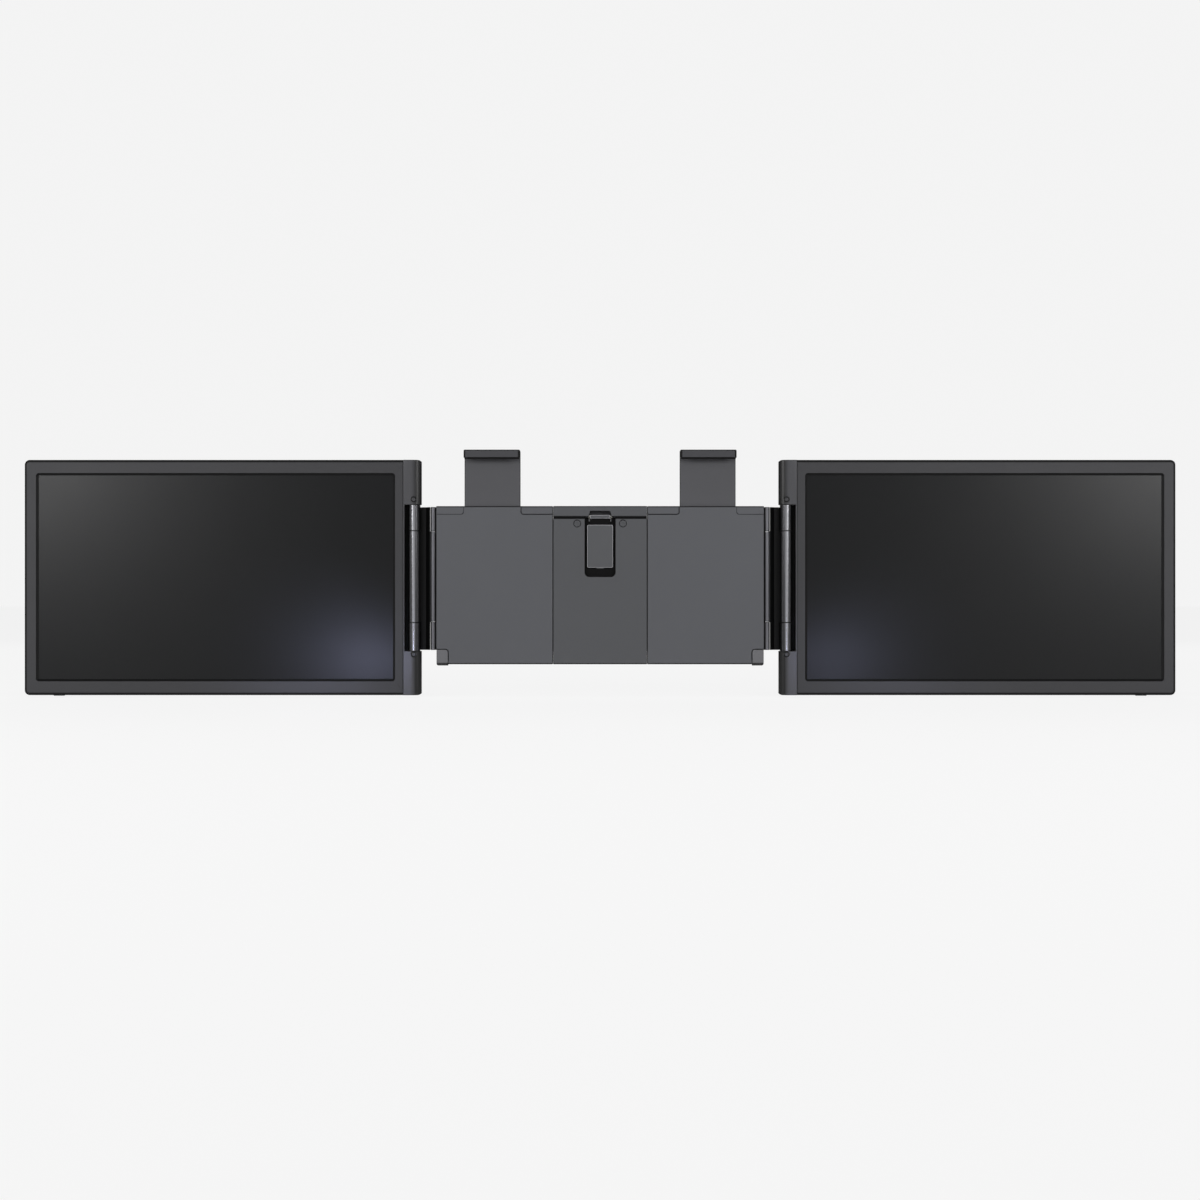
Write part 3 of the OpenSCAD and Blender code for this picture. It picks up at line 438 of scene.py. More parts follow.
def show(name: str, mesh: bpy.types.Mesh) -> bpy.types.Object:
    """Links a mesh into the scene as an object at the origin."""
    piece = bpy.data.objects.new(name, mesh)
    bpy.context.scene.collection.objects.link(piece)
    return piece


def from_bmesh(name: str, work: bmesh.types.BMesh) -> bpy.types.Object:
    """Turns a bmesh into an object, with its doubles merged and its faces pointing outwards.

    Args:
        name: the object's name.
        work: the bmesh, which is freed.

    Returns:
        The new object.
    """
    bmesh.ops.remove_doubles(work, verts=work.verts, dist=SAME_POINT)
    bmesh.ops.recalc_face_normals(work, faces=work.faces)
    mesh = bpy.data.meshes.new(name)
    work.to_mesh(mesh)
    work.free()
    return show(name, mesh)


def cad_copy(node: str, name: str, rows: tuple[float, ...] = ()) -> bpy.types.Object:
    """A merged copy of a CAD node's mesh, with its flat faces whole again.

    Args:
        node: the CAD node's name.
        name: the copy's name.
        rows: heights in millimetres at which the faces stay divided, through each hole, so that no
            face has a hole in it.

    Returns:
        The copy.
    """
    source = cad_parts[node].data
    work = bmesh.new()
    corners = [work.verts.new(vertex.co) for vertex in source.vertices]
    for polygon in source.polygons:
        work.faces.new([corners[index] for index in polygon.vertices])
    bmesh.ops.remove_doubles(work, verts=work.verts, dist=CAD_SEAM)
    for row in rows:
        bmesh.ops.bisect_plane(
            work, geom=work.verts[:] + work.edges[:] + work.faces[:], dist=ON_PLANE,
            plane_co=(0, 0, row * MM), plane_no=(0, 0, 1),
        )
    on_row = {
        vertex for vertex in work.verts if any(abs(vertex.co.z - row * MM) < SAME_POINT for row in rows)
    }
    bmesh.ops.dissolve_limit(
        work, angle_limit=math.radians(FLAT_ANGLE), use_dissolve_boundaries=False,
        verts=[vertex for vertex in work.verts if vertex not in on_row],
        edges=[edge for edge in work.edges if not (edge.verts[0] in on_row and edge.verts[1] in on_row)],
    )
    return from_bmesh(name, work)


def settle(piece: bpy.types.Object) -> bpy.types.Object:
    """Applies a piece's modifiers by replacing its mesh with the evaluated one."""
    graph = bpy.context.evaluated_depsgraph_get()
    mesh = bpy.data.meshes.new_from_object(piece.evaluated_get(graph))
    old = piece.data
    piece.modifiers.clear()
    piece.data = mesh
    mesh.name = piece.name
    bpy.data.meshes.remove(old)
    return piece


def on_rim(edge: bmesh.types.BMEdge, low: Vector, high: Vector) -> bool:
    """Whether an edge runs along a plate's outline: where its front or back meets its top or foot."""
    near = 0.02 * MM
    a, b = (vertex.co for vertex in edge.verts)
    depth = any(abs(a.y - y) < near and abs(b.y - y) < near for y in (low.y, high.y))
    return depth and any(abs(a.z - z) < near and abs(b.z - z) < near for z in (low.z, high.z))


def soften(piece: bpy.types.Object, width: float, rim: float = 0.0, segments: int = 3,
           angle: float = 32) -> bpy.types.Object:
    """Rounds a piece's edges.

    Args:
        piece: the piece, whose mesh is replaced.
        width: the rounding's width in millimetres.
        rim: the wider rounding of the edges along the outline, or 0 for the same width.
        segments: how many faces the rounding has.
        angle: the least angle of an edge that is rounded, in degrees.

    Returns:
        The same piece.
    """
    widest = max(width, rim)
    work = bmesh.new()
    work.from_mesh(piece.data)
    low = Vector([min(vertex.co[n] for vertex in work.verts) for n in range(3)])
    high = Vector([max(vertex.co[n] for vertex in work.verts) for n in range(3)])
    weight = work.edges.layers.float.new("bevel_weight_edge")
    for edge in work.edges:
        if len(edge.link_faces) == 2 and edge.calc_face_angle() > math.radians(angle):
            edge[weight] = (rim if rim and on_rim(edge, low, high) else width) / widest
    work.to_mesh(piece.data)
    work.free()
    bevel = piece.modifiers.new("edges", "BEVEL")
    bevel.width = widest * MM
    bevel.segments = segments
    bevel.limit_method = "WEIGHT"
    bevel.use_clamp_overlap = False
    return settle(piece)


def carve(piece: bpy.types.Object, *cutters: bpy.types.Object) -> bpy.types.Object:
    """Cuts closed shapes out of a piece and removes them.

    Args:
        piece: the piece, whose mesh is replaced.
        cutters: the shapes that are cut out.

    Returns:
        The same piece.
    """
    for cutter in cutters:
        cut = piece.modifiers.new("cut", "BOOLEAN")
        cut.operation = "DIFFERENCE"
        cut.solver = "EXACT"
        cut.object = cutter
        settle(piece)
        bpy.data.objects.remove(cutter)
    return piece


def close(work: bmesh.types.BMesh, passes: int = 4, sides: int = 12) -> None:
    """Merges a mesh's near points, and mends the small gaps and folds that rounding leaves.

    Args:
        work: the bmesh, which is changed.
        passes: how often folded faces are taken out and gaps are filled.
        sides: the most edges that a gap may have.
    """
    bmesh.ops.remove_doubles(work, verts=work.verts, dist=CLOSE_GAP)
    bmesh.ops.dissolve_degenerate(work, edges=work.edges, dist=SLIVER)
    for _ in range(passes):
        crowded = [edge for edge in work.edges if len(edge.link_faces) > 2]
        folded = {min(edge.link_faces, key=lambda face: face.calc_area()) for edge in crowded}
        bmesh.ops.delete(work, geom=list(folded), context="FACES")
        rims = [edge for edge in work.edges if edge.is_boundary]
        bmesh.ops.holes_fill(work, edges=rims, sides=sides)
    bmesh.ops.delete(work, geom=[edge for edge in work.edges if edge.is_wire], context="EDGES")
    bmesh.ops.delete(work, geom=[vertex for vertex in work.verts if not vertex.link_faces], context="VERTS")


def smooth(piece: bpy.types.Object, angle: float = 50) -> bpy.types.Object:
    """Closes a piece's mesh, splits its large faces and shades it smoothly.

    Args:
        piece: the piece, whose mesh is replaced.
        angle: edges sharper than this many degrees stay sharp.

    Returns:
        The same piece.
    """
    work = bmesh.new()
    work.from_mesh(piece.data)
    for _ in range(2):
        close(work)
        bmesh.ops.triangulate(work, faces=[face for face in work.faces if len(face.verts) > 4])
    close(work)
    work.to_mesh(piece.data)
    work.free()
    piece.data.shade_smooth()
    piece.data.set_sharp_from_angle(angle=math.radians(angle))
    even = piece.modifiers.new("flat_faces", "WEIGHTED_NORMAL")
    even.keep_sharp = True
    return settle(piece)


def dress(piece: bpy.types.Object, finish: Finish, body: str, slot: str, *nodes: str) -> bpy.types.Object:
    """Gives a finished piece its material and its place in the frame.

    Args:
        piece: the finished piece.
        finish: its finish.
        body: the CAD body that it rides on.
        slot: the record's material slot; not used.
        nodes: the CAD nodes that it stands for.

    Returns:
        The same piece.
    """
    piece.data.materials.clear()
    piece.data.materials.append(finish.material())
    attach(piece, body)
    if nodes:
        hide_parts(*nodes)
    return piece


def carry(node: str, finish: Finish) -> None:
    """Keeps a CAD node as it is and gives it a finish."""
    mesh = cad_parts[node].data
    mesh.materials.clear()
    mesh.materials.append(finish.material())


def softened(node: str, finish: Finish, body: str, slot: str, width: float = 0.3,
             rim: float = 0.0, rows: tuple[float, ...] = ()) -> bpy.types.Object:
    """A CAD node's shape with rounded edges, standing for that node.

    Args:
        node: the CAD node.
        finish: the piece's finish.
        body: the body that it rides on.
        slot: the record's material slot.
        width: the rounding's width in millimetres.
        rim: the wider rounding along the outline.
        rows: heights at which its faces are divided, through each hole.

    Returns:
        The finished piece.
    """
    piece = smooth(soften(cad_copy(node, f"{node}_shown", rows), width, rim))
    return dress(piece, finish, body, slot, node)


def refinish(piece: bpy.types.Object, finish: Finish, x: float, y: float, radius: float) -> None:
    """Gives the faces round an upright axis another finish.

    Args:
        piece: a dressed piece.
        finish: the finish of the faces round the axis.
        x: the axis's place in X, in millimetres.
        y: the axis's place in Y.
        radius: how far from the axis a face may reach.
    """
    piece.data.materials.append(finish.material())
    index = len(piece.data.materials) - 1
    axis = Vector((x, y)) * MM
    for face in piece.data.polygons:
        if all((piece.data.vertices[n].co.xy - axis).length < radius * MM for n in face.vertices):
            face.material_index = index


def seal(name: str, low: Point, high: Point, side: Side, body: str, slot: str) -> bpy.types.Object:
    """A thin black strip with rounded edges that closes the view through a hinge's gap, as painted shade.

    Args:
        name: the strip's name.
        low: its low corner on the right-hand side, in millimetres.
        high: its high corner.
        side: the side that it is on.
        body: the body that it rides on.
        slot: the record's material slot.

    Returns:
        The finished strip.
    """
    a, b = low[0] * side.value, high[0] * side.value
    strip = box_shape(name, (min(a, b), low[1], low[2]), (max(a, b), high[1], high[2]))
    return dress(smooth(soften(strip, STRIP_ROUND)), BLACK_PLASTIC, body, slot)


def washer(name: str, x: float, y: float, z: float, radii: tuple[float, float], thick: float,
           body: str, sides: int = 36) -> bpy.types.Object:
    """A thin black washer with rounded edges on an upright pin; its black in a barrel's parting is painted
    shade.

    Args:
        name: the washer's name.
        x: the pin's place in X, in millimetres.
        y: the pin's place in Y.
        z: the washer's middle.
        radii: the radius of its hole and of its rim.
        thick: its thickness.
        body: the body that it rides on.
        sides: how many sides it has.

    Returns:
        The finished washer.
    """
    hole, rim = radii
    half, round_off = thick / 2, thick / 4
    section = [(hole, -half), (rim - round_off, -half), (rim, -half + round_off), (rim, half - round_off),
               (rim - round_off, half), (hole, half)]
    rings = []
    for n in range(sides):
        turn = 2 * math.pi * n / sides
        rings.append([(x + r * math.cos(turn), y + r * math.sin(turn), z + up) for r, up in section])
    return dress(smooth(lofted(name, rings, closed=True)), BLACK_PLASTIC, body, "black_plastic")


def box_shape(name: str, low: Point, high: Point) -> bpy.types.Object:
    """A closed box between two corners in millimetres, for cutting."""
    work = bmesh.new()
    bmesh.ops.create_cube(work, size=1)
    middle = Vector([(a + b) / 2 for a, b in zip(low, high)])
    spans = [(b - a) for a, b in zip(low, high)]
    for vertex in work.verts:
        vertex.co = Vector([c * s for c, s in zip(vertex.co, spans)]) + middle
        vertex.co *= MM
    return from_bmesh(name, work)


def bar_shape(name: str, x: float, z: float, y0: float, y1: float, radius: float,
              sides: int = 32) -> bpy.types.Object:
    """A closed round bar along Y in millimetres, for cutting."""
    ring = [
        (x + radius * math.cos(2 * math.pi * n / sides), z + radius * math.sin(2 * math.pi * n / sides))
        for n in range(sides)
    ]
    return lofted(name, [[(a, y, b) for a, b in ring] for y in (y0, y1)])


def lofted(name: str, rings: list[Ring], closed: bool = False) -> bpy.types.Object:
    """A skin through rings of points, each with as many points as the others.

    Args:
        name: the object's name.
        rings: the rings in order, in millimetres.
        closed: whether the last ring joins the first. If not, both ends are capped.

    Returns:
        The new object.
    """
    work = bmesh.new()
    rows = [[work.verts.new(Vector(point) * MM) for point in ring] for ring in rings]
    pairs = list(zip(rows, rows[1:] + rows[:1])) if closed else list(zip(rows, rows[1:]))
    for first, second in pairs:
        for n in range(len(first)):
            after = (n + 1) % len(first)
            work.faces.new([first[n], first[after], second[after], second[n]])
    if not closed:
        work.faces.new(rows[0])
        work.faces.new(list(reversed(rows[-1])))
    return from_bmesh(name, work)


@dataclass(frozen=True)
class Outline:
    """A rectangle in the XZ plane, with one corner radius towards X's low end and one towards its high end.

    Args:
        x0, x1, z0, z1: its edges in millimetres.
        r0: the radius of the two corners at x0.
        r1: the radius of the two corners at x1.
        steps: how many faces each corner has.
    """

    x0: float
    x1: float
    z0: float
    z1: float
    r0: float
    r1: float
    steps: int = 8

    def inset(self, low: float, other: float) -> "Outline":
        """The outline drawn in, by low at x0 and by other on the remaining sides."""
        return Outline(
            self.x0 + low, self.x1 - other, self.z0 + other, self.z1 - other,
            max(self.r0 - low, 0.02), max(self.r1 - other, 0.02), self.steps,
        )

    def ring(self, y: float) -> Ring:
        """The outline's points at a depth, always as many."""
        corners = [
            (self.x1 - self.r1, self.z1 - self.r1, self.r1, 0),
            (self.x0 + self.r0, self.z1 - self.r0, self.r0, 90),
            (self.x0 + self.r0, self.z0 + self.r0, self.r0, 180),
            (self.x1 - self.r1, self.z0 + self.r1, self.r1, 270),
        ]
        points = []
        for x, z, radius, first in corners:
            for step in range(self.steps + 1):
                turn = math.radians(first + 90 * step / self.steps)
                points.append((x + radius * math.cos(turn), y, z + radius * math.sin(turn)))
        return points


def on_side(rings: list[Ring], side: Side) -> list[Ring]:
    """Right-hand rings as they stand on the given side."""
    return [[(x * side.value, y, z) for x, y, z in ring] for ring in rings]


def walled(path: list[tuple[float, float]], width: float) -> list[tuple[float, float]]:
    """The outline of a line of a given width along a path.

    Args:
        path: the path's points (x, z) in millimetres.
        width: the line's width.

    Returns:
        The outline's points, down one side and back along the other.
    """
    left, right = [], []
    for n, (x, z) in enumerate(path):
        ax, az = path[max(n - 1, 0)]
        bx, bz = path[min(n + 1, len(path) - 1)]
        along = Vector((bx - ax, bz - az)).normalized()
        left.append((x - along.y * width / 2, z + along.x * width / 2))
        right.append((x + along.y * width / 2, z - along.x * width / 2))
    return left + right[::-1]


def line_cutter(name: str, path: list[tuple[float, float]], width: float, y0: float,
                y1: float) -> bpy.types.Object:
    """A closed shape for engraving a V-shaped line into a face that looks along -Y at y 0.

    Args:
        name: the object's name.
        path: the line's points (x, z).
        width: its width at the face.
        y0: where the shape starts, outside the face.
        y1: how deep it goes.

    Returns:
        The cutter.
    """
    outline = walled(path, width)
    half = len(outline) // 2
    rings = []
    for n in range(half):
        a, b = outline[n], outline[-1 - n]
        x, z = path[n]
        rings.append([(a[0], y0, a[1]), (b[0], y0, b[1]), (b[0], 0, b[1]), (x, y1, z), (a[0], 0, a[1])])
    return lofted(name, rings)


def cornered(start: tuple[float, float], corner: tuple[float, float], end: tuple[float, float],
             radius: float, steps: int = 6) -> list[tuple[float, float]]:
    """A path of two straight lines with a rounded corner between them.

    Args:
        start: the first point (x, z).
        corner: where the lines would meet.
        end: the last point.
        radius: the corner's radius.
        steps: how many pieces the corner has.

    Returns:
        The path's points.
    """
    c = Vector(corner)
    to_start = (Vector(start) - c).normalized()
    to_end = (Vector(end) - c).normalized()
    middle = c + (to_start + to_end) * radius
    path = [start]
    for step in range(steps + 1):
        turn = math.pi / 2 * step / steps
        point = middle - to_end * radius * math.cos(turn) - to_start * radius * math.sin(turn)
        path.append((point.x, point.y))
    return path + [end]


# ---- Geometry Nodes ----


@dataclass
class Scatter:
    """A geometry tree that sets a pattern on points, or along a row, and makes it one mesh."""

    trees: dict[str, bpy.types.NodeTree] = field(default_factory=dict)

    @staticmethod
    def _sockets(tree: bpy.types.NodeTree, inputs: dict[str, str]) -> None:
        """Gives a geometry tree its named inputs and its output."""
        for name, kind in inputs.items():
            tree.interface.new_socket(name, in_out="INPUT", socket_type=f"NodeSocket{kind}")
        tree.interface.new_socket("Geometry", in_out="OUTPUT", socket_type="NodeSocketGeometry")

    def _end(self, nodes: Nodes, start: bpy.types.Node, geometry: bpy.types.NodeSocket) -> None:
        """Ends a tree in Realize Instances and Set Material."""
        real = nodes.add("GeometryNodeRealizeInstances", {"Geometry": geometry})
        painted = nodes.add(
            "GeometryNodeSetMaterial",
            {"Geometry": real.outputs[0], "Material": start.outputs["Material"]},
        )
        nodes.add("NodeGroupOutput", {"Geometry": painted.outputs[0]})

    def on_points(self) -> bpy.types.NodeTree:
        """The tree that sets a pattern on each of a mesh's points, turned at random about Y."""
        if "on_points" not in self.trees:
            tree = bpy.data.node_groups.new("pattern_on_points", "GeometryNodeTree")
            self._sockets(tree, {
                "Geometry": "Geometry", "Pattern": "Object", "Size": "Float", "Seed": "Int",
                "Material": "Material",
            })
            nodes = Nodes(tree)
            start = nodes.add("NodeGroupInput")
            pattern = nodes.add("GeometryNodeObjectInfo", {"Object": start.outputs["Pattern"]})
            turn = nodes.add("FunctionNodeRandomValue", data_type="FLOAT_VECTOR")
            nodes.join((0.0, -math.pi, 0.0), turn.inputs[0])
            nodes.join((0.0, math.pi, 0.0), turn.inputs[1])
            nodes.join(start.outputs["Seed"], turn.inputs["Seed"])
            placed = nodes.add("GeometryNodeInstanceOnPoints", {
                "Points": start.outputs["Geometry"],
                "Instance": pattern.outputs["Geometry"],
                "Rotation": turn.outputs[0],
                "Scale": start.outputs["Size"],
            })
            self._end(nodes, start, placed.outputs[0])
            self.trees["on_points"] = tree
        return self.trees["on_points"]

    def in_row(self) -> bpy.types.NodeTree:
        """The tree that repeats a pattern along a straight row."""
        if "in_row" not in self.trees:
            tree = bpy.data.node_groups.new("pattern_in_row", "GeometryNodeTree")
            self._sockets(tree, {
                "Geometry": "Geometry", "Pattern": "Object", "Count": "Int", "Start": "Vector",
                "Step": "Vector", "Material": "Material",
            })
            nodes = Nodes(tree)
            start = nodes.add("NodeGroupInput")
            pattern = nodes.add("GeometryNodeObjectInfo", {"Object": start.outputs["Pattern"]})
            row = nodes.add("GeometryNodeMeshLine", {
                "Count": start.outputs["Count"],
                "Start Location": start.outputs["Start"],
                "Offset": start.outputs["Step"],
            })
            placed = nodes.add("GeometryNodeInstanceOnPoints", {
                "Points": row.outputs[0], "Instance": pattern.outputs["Geometry"],
            })
            self._end(nodes, start, placed.outputs[0])
            self.trees["in_row"] = tree
        return self.trees["in_row"]

    @staticmethod
    def run(host: bpy.types.Object, tree: bpy.types.NodeTree, values: dict[str, object]) -> bpy.types.Object:
        """Runs a tree on a host object and leaves the result as its plain mesh.

        Args:
            host: the object that carries the modifier.
            tree: the geometry tree.
            values: its inputs by name.

        Returns:
            The host, with the result as its mesh.
        """
        modifier = host.modifiers.new("pattern", "NODES")
        modifier.node_group = tree
        for item in tree.interface.items_tree:
            if item.in_out == "INPUT" and item.name in values:
                modifier[item.identifier] = values[item.name]
        return settle(host)


SCATTER = Scatter()


@dataclass
class Screws:
    """A group of like screws on one body.

    Args:
        name: the piece's name.
        node: the CAD node that they stand for.
        places: each head's middle (x, y, z) in millimetres, on the head's outer face.
        facing: 1 where the heads look along +Y, -1 where they look along -Y.
        head_r: the head's radius.
        head_t: the head's thickness.
        shank: the shank's radius and length.
        drive: the head's recess.
        chamfer: the width of the head's chamfer.
        cross: how long a cross recess is, as a share of the head's radius, and half its width.
        hex_share: the radius of a hexagonal recess, as a share of the head's.
        recess_share: the recess's depth, as a share of the head's thickness.
        sides: how many sides the round forms have.
    """

    name: str
    node: str
    places: list[Point]
    facing: int
    head_r: float = 2.0
    head_t: float = 0.9
    shank: tuple[float, float] = (0.95, 4.1)
    drive: Drive = Drive.CROSS
    chamfer: float = 0.18
    cross: tuple[float, float] = (0.62, 0.24)
    hex_share: float = 0.5
    recess_share: float = 0.55
    sides: int = 32

    def head(self) -> bpy.types.Object:
        """One screw at the origin, its head's outer face at y 0, with its recess cut.

        Returns:
            The screw.
        """
        rim = 0.45
        profile = [
            (self.head_r - self.chamfer, 0.0), (self.head_r, self.chamfer), (self.head_r, self.head_t * rim),
            (self.shank[0], self.head_t), (self.shank[0], self.head_t + self.shank[1]),
        ]
        sides = self.sides
        rings = []
        for radius, depth in profile:
            rings.append([
                (radius * math.cos(2 * math.pi * n / sides), -depth * self.facing,
                 radius * math.sin(2 * math.pi * n / sides))
                for n in range(sides)
            ])
        screw = lofted("screw_pattern", rings)
        return carve(screw, *self.recess())

    def recess(self) -> list[bpy.types.Object]:
        """The cutters for the head's recess.

        Returns:
            The cutters.
        """
        deep = self.recess_share * self.head_t * self.facing
        out = 0.5 * self.facing
        if self.drive is Drive.HEX:
            radius = self.head_r * self.hex_share
            return [bar_shape("socket", 0, 0, min(-deep, out), max(-deep, out), radius, 6)]
        arm, half = self.head_r * self.cross[0], self.cross[1]
        spans = [(arm, half), (half, arm)]
        return [
            box_shape("slot", (-a, min(-deep, out), -b), (a, max(-deep, out), b)) for a, b in spans
        ]

    def build(self, body: str, slot: str, finish: Finish = SCREW_STEEL) -> bpy.types.Object:
        """Makes the screws as one mesh.

        Args:
            body: the body that they ride on.
            slot: the record's material slot.
            finish: their finish.

        Returns:
            The finished piece.
        """
        mesh = bpy.data.meshes.new(self.name)
        mesh.from_pydata([Vector(place) * MM for place in self.places], [], [])
        host = show(self.name, mesh)
        head = self.head()
        SCATTER.run(host, SCATTER.on_points(), {
            "Pattern": head, "Size": 1.0, "Seed": SEED, "Material": finish.material(),
        })
        bpy.data.objects.remove(head)
        return dress(smooth(host), finish, body, slot, *filter(None, [self.node]))


def in_row(pattern: bpy.types.Object, name: str, count: int, start: Point, step: Point,
           finish: Finish) -> bpy.types.Object:
    """Repeats a pattern along a row with the geometry tree, and removes the pattern.

    Args:
        pattern: the shape that repeats, at the origin.
        name: the result's name.
        count: how many there are.
        start: the first one's place in millimetres.
        step: the way from each to the next.
        finish: the finish that the tree sets.

    Returns:
        The row as one mesh.
    """
    host = show(name, bpy.data.meshes.new(name))
    SCATTER.run(host, SCATTER.in_row(), {
        "Pattern": pattern, "Count": count, "Start": Vector(start) * MM, "Step": Vector(step) * MM,
        "Material": finish.material(),
    })
    bpy.data.objects.remove(pattern)
    return host


# ---- Sizes read from the frame ----


def extent(node: str) -> tuple[Point, Point]:
    """A CAD node's lowest and highest corners in millimetres."""
    low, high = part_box(node)
    return tuple(low / MM), tuple(high / MM)


@dataclass
class Sizes:
    """The main places of the bracket and the right-hand screen, in millimetres.

    Args:
        half_c, half_h: half the centre section's width and height.
        depth: where the rear covers' outer faces are.
        wing, bezel, rear, panel, spine, barrel, leaf, clamp: the low and high corners of those pieces.
        lower_part, upper_part: the heights at which the hinges' barrels part.
    """

    half_c: float = extent("centre_front_plate")[1][0]
    half_h: float = extent("centre_front_plate")[1][2]
    depth: float = extent("wing_rear_cover_right")[1][1]
    wing: tuple[Point, Point] = extent("wing_front_cover_right")
    bezel: tuple[Point, Point] = extent("screen_bezel_right")
    rear: tuple[Point, Point] = extent("screen_rear_cover_right")
    panel: tuple[Point, Point] = extent("display_panel_right")
    spine: tuple[Point, Point] = extent("hinge_spine_right")
    barrel: tuple[Point, Point] = extent("barrel_sleeves_right")
    leaf: tuple[Point, Point] = extent("hinge_leaf_right")
    clamp: tuple[Point, Point] = extent("clamp_plate_right")
    lower_part: float = -31.1
    upper_part: float = 45.3


SIZES = Sizes()

# The cover screws' distance from the bracket's top and bottom edges, and from a cover's inner edge.
SCREW_ROW = 5.2
SCREW_COLUMN = 9.2


# ---- Screens ----


@dataclass
class Screen:
    """One display with its casing and hinge spine.

    Args:
        side: the half of the extender it is on.
        roll_w, roll_d: width and depth of the bezel's rolled outer edge.
        roll_steps: how many faces the rolled edge has.
        seam: width of the groove between the bezel and the spine.
        lap: how far the display reaches under the bezel.
        bevel: width of the slope round the window.
        brow_w, brow_d, brow_r: width, depth and corner radius of the step at the slope's outer edge.
        lip: width and depth of the small round between the face and that step.
        under: how far in front of the glass the slope ends.
        window_r: radius of the window's corners.
        corner_r: radius of the casing's outer corners.
        outline_steps: how many faces each corner has.
        glass_r, glass_edge: the glass's corner radius and the width of its polished edge.
        screw_inset: the case screws' distance from the casing's edges, in X and in Z.
        vents: how many vent slots there are.
        vent: half the width, half the height, the end radius and the depth of a vent slot.
        vent_place: the first slot's distance from the spine's edge and from the top.
        vent_step: the way from each slot to the next.
        grub_places: the grub screws' distance below and above the barrels.
        grub_depth: how deep their heads lie in the spine.
        grub_head, grub_shank: radius and height of their heads, and of their shanks.
        cover_round, port_round, key_round: how wide the rear cover's, the ports' and the key's edges are
            rounded.
        notch_seal: the black strip of painted shade behind the barrels, in X past the barrels'
            edge, and in Y.
    """

    side: Side
    roll_w: float = 3.2
    roll_d: float = 1.4
    roll_steps: int = 6
    seam: float = 0.25
    lap: float = 2.5
    bevel: float = 1.7
    brow_w: float = 0.25
    brow_d: float = 0.25
    brow_r: float = 1.2
    lip: float = 0.07
    under: float = 0.2
    window_r: float = 0.5
    corner_r: float = 4.2
    outline_steps: int = 10
    glass_r: float = 0.8
    glass_edge: float = 0.15
    screw_inset: tuple[float, float] = (12.0, 6.2)
    vents: int = 14
    vent: tuple[float, float, float, float] = (0.8, 5.0, 0.79, 0.9)
    vent_place: tuple[float, float] = (60.0, 22.0)
    vent_step: float = 4.2
    grub_places: tuple[float, float] = (2.8, 4.6)
    grub_depth: float = 0.25
    grub_head: tuple[float, float] = (2.0, 1.2)
    grub_shank: tuple[float, float] = (1.9, 1.4)
    cover_round: float = 0.5
    port_round: float = 0.08
    key_round: float = 0.25
    notch_seal: tuple[tuple[float, float], tuple[float, float]] = ((-0.4, 2.6), (4.6, 5.2))

    @property
    def body(self) -> str:
        """The CAD body that the screen rides on."""
        return f"screen_{self.side.word}"

    def node(self, stem: str) -> str:
        """The name of one of the screen's nodes."""
        return f"{stem}_{self.side.word}"

    def bezel(self) -> bpy.types.Object:
        """The bezel: a rolled outer edge, a flat face and a slope down to the display."""
        (x0, y0, z0), (x1, _, z1) = SIZES.bezel
        (wx0, glass, wz0), (wx1, _, wz1) = SIZES.panel
        square, steps = 0.05, self.outline_steps
        outer = Outline(x0, x1, z0, z1, square, self.corner_r, steps)
        window = Outline(wx0 + self.lap, wx1 - self.lap, wz0 + self.lap, wz1 - self.lap, self.window_r,
                         self.window_r, steps)
        rings = [outer.ring(glass)]
        for step in range(self.roll_steps + 1):
            turn = math.pi / 2 * step / self.roll_steps
            share = 1 - math.cos(turn)
            rings.append(outer.inset(self.seam * share, self.roll_w * share).ring(
                y0 + self.roll_d * (1 - math.sin(turn))))
        edge = window.inset(-self.bevel - self.brow_w, -self.bevel - self.brow_w)
        rings.append(Outline(edge.x0, edge.x1, edge.z0, edge.z1, self.brow_r, self.brow_r, steps).ring(y0))
        for out, deep in ((self.bevel + self.lip, self.lip), (self.bevel, self.brow_d)):
            rings.append(window.inset(-out, -out).ring(y0 + deep))
        rings.append(window.ring(glass - self.under))
        rings.append(window.ring(glass))
        piece = lofted(self.node("screen_bezel") + "_shown", on_side(rings, self.side), closed=True)
        return dress(smooth(piece), BEZEL, self.body, "bezel_plastic", self.node("screen_bezel"))

    def display(self) -> bpy.types.Object:
        """The display panel with its rounded glass edge."""
        (x0, y0, z0), (x1, y1, z1) = SIZES.panel
        outline = Outline(x0, x1, z0, z1, self.glass_r, self.glass_r, 5)
        edge = self.glass_edge
        rings = [outline.ring(y1), outline.ring(y0 + edge), outline.inset(edge, edge).ring(y0)]
        piece = lofted(self.node("display_panel") + "_shown", on_side(rings, self.side))
        return dress(smooth(piece), DISPLAY, self.body, "display", self.node("display_panel"))

    def rear_cover(self) -> bpy.types.Object:
        """The rear cover with its vent slots."""
        (x0, _, z0), (_, y1, z1) = SIZES.rear
        rows = (z0 + self.screw_inset[1], z1 - self.screw_inset[1])
        name = self.node("screen_rear_cover")
        piece = soften(cad_copy(name, name + "_shown", rows), self.cover_round)
        half_w, half_h, end_r, deep = self.vent
        past = 0.5
        slot = lofted("slot", [
            Outline(-half_w, half_w, -half_h, half_h, end_r, end_r, 6).ring(y) for y in (y1 - deep, y1 + past)
        ])
        first = (x0 + self.vent_place[0]) * self.side.value
        vents = in_row(slot, "vents", self.vents, (first, 0, z1 - self.vent_place[1]),
                       (self.vent_step * self.side.value, 0, 0), BLACK_PLASTIC)
        carve(piece, vents)
        return dress(smooth(piece), SCREEN_BACK, self.body, "rear_plastic", self.node("screen_rear_cover"))

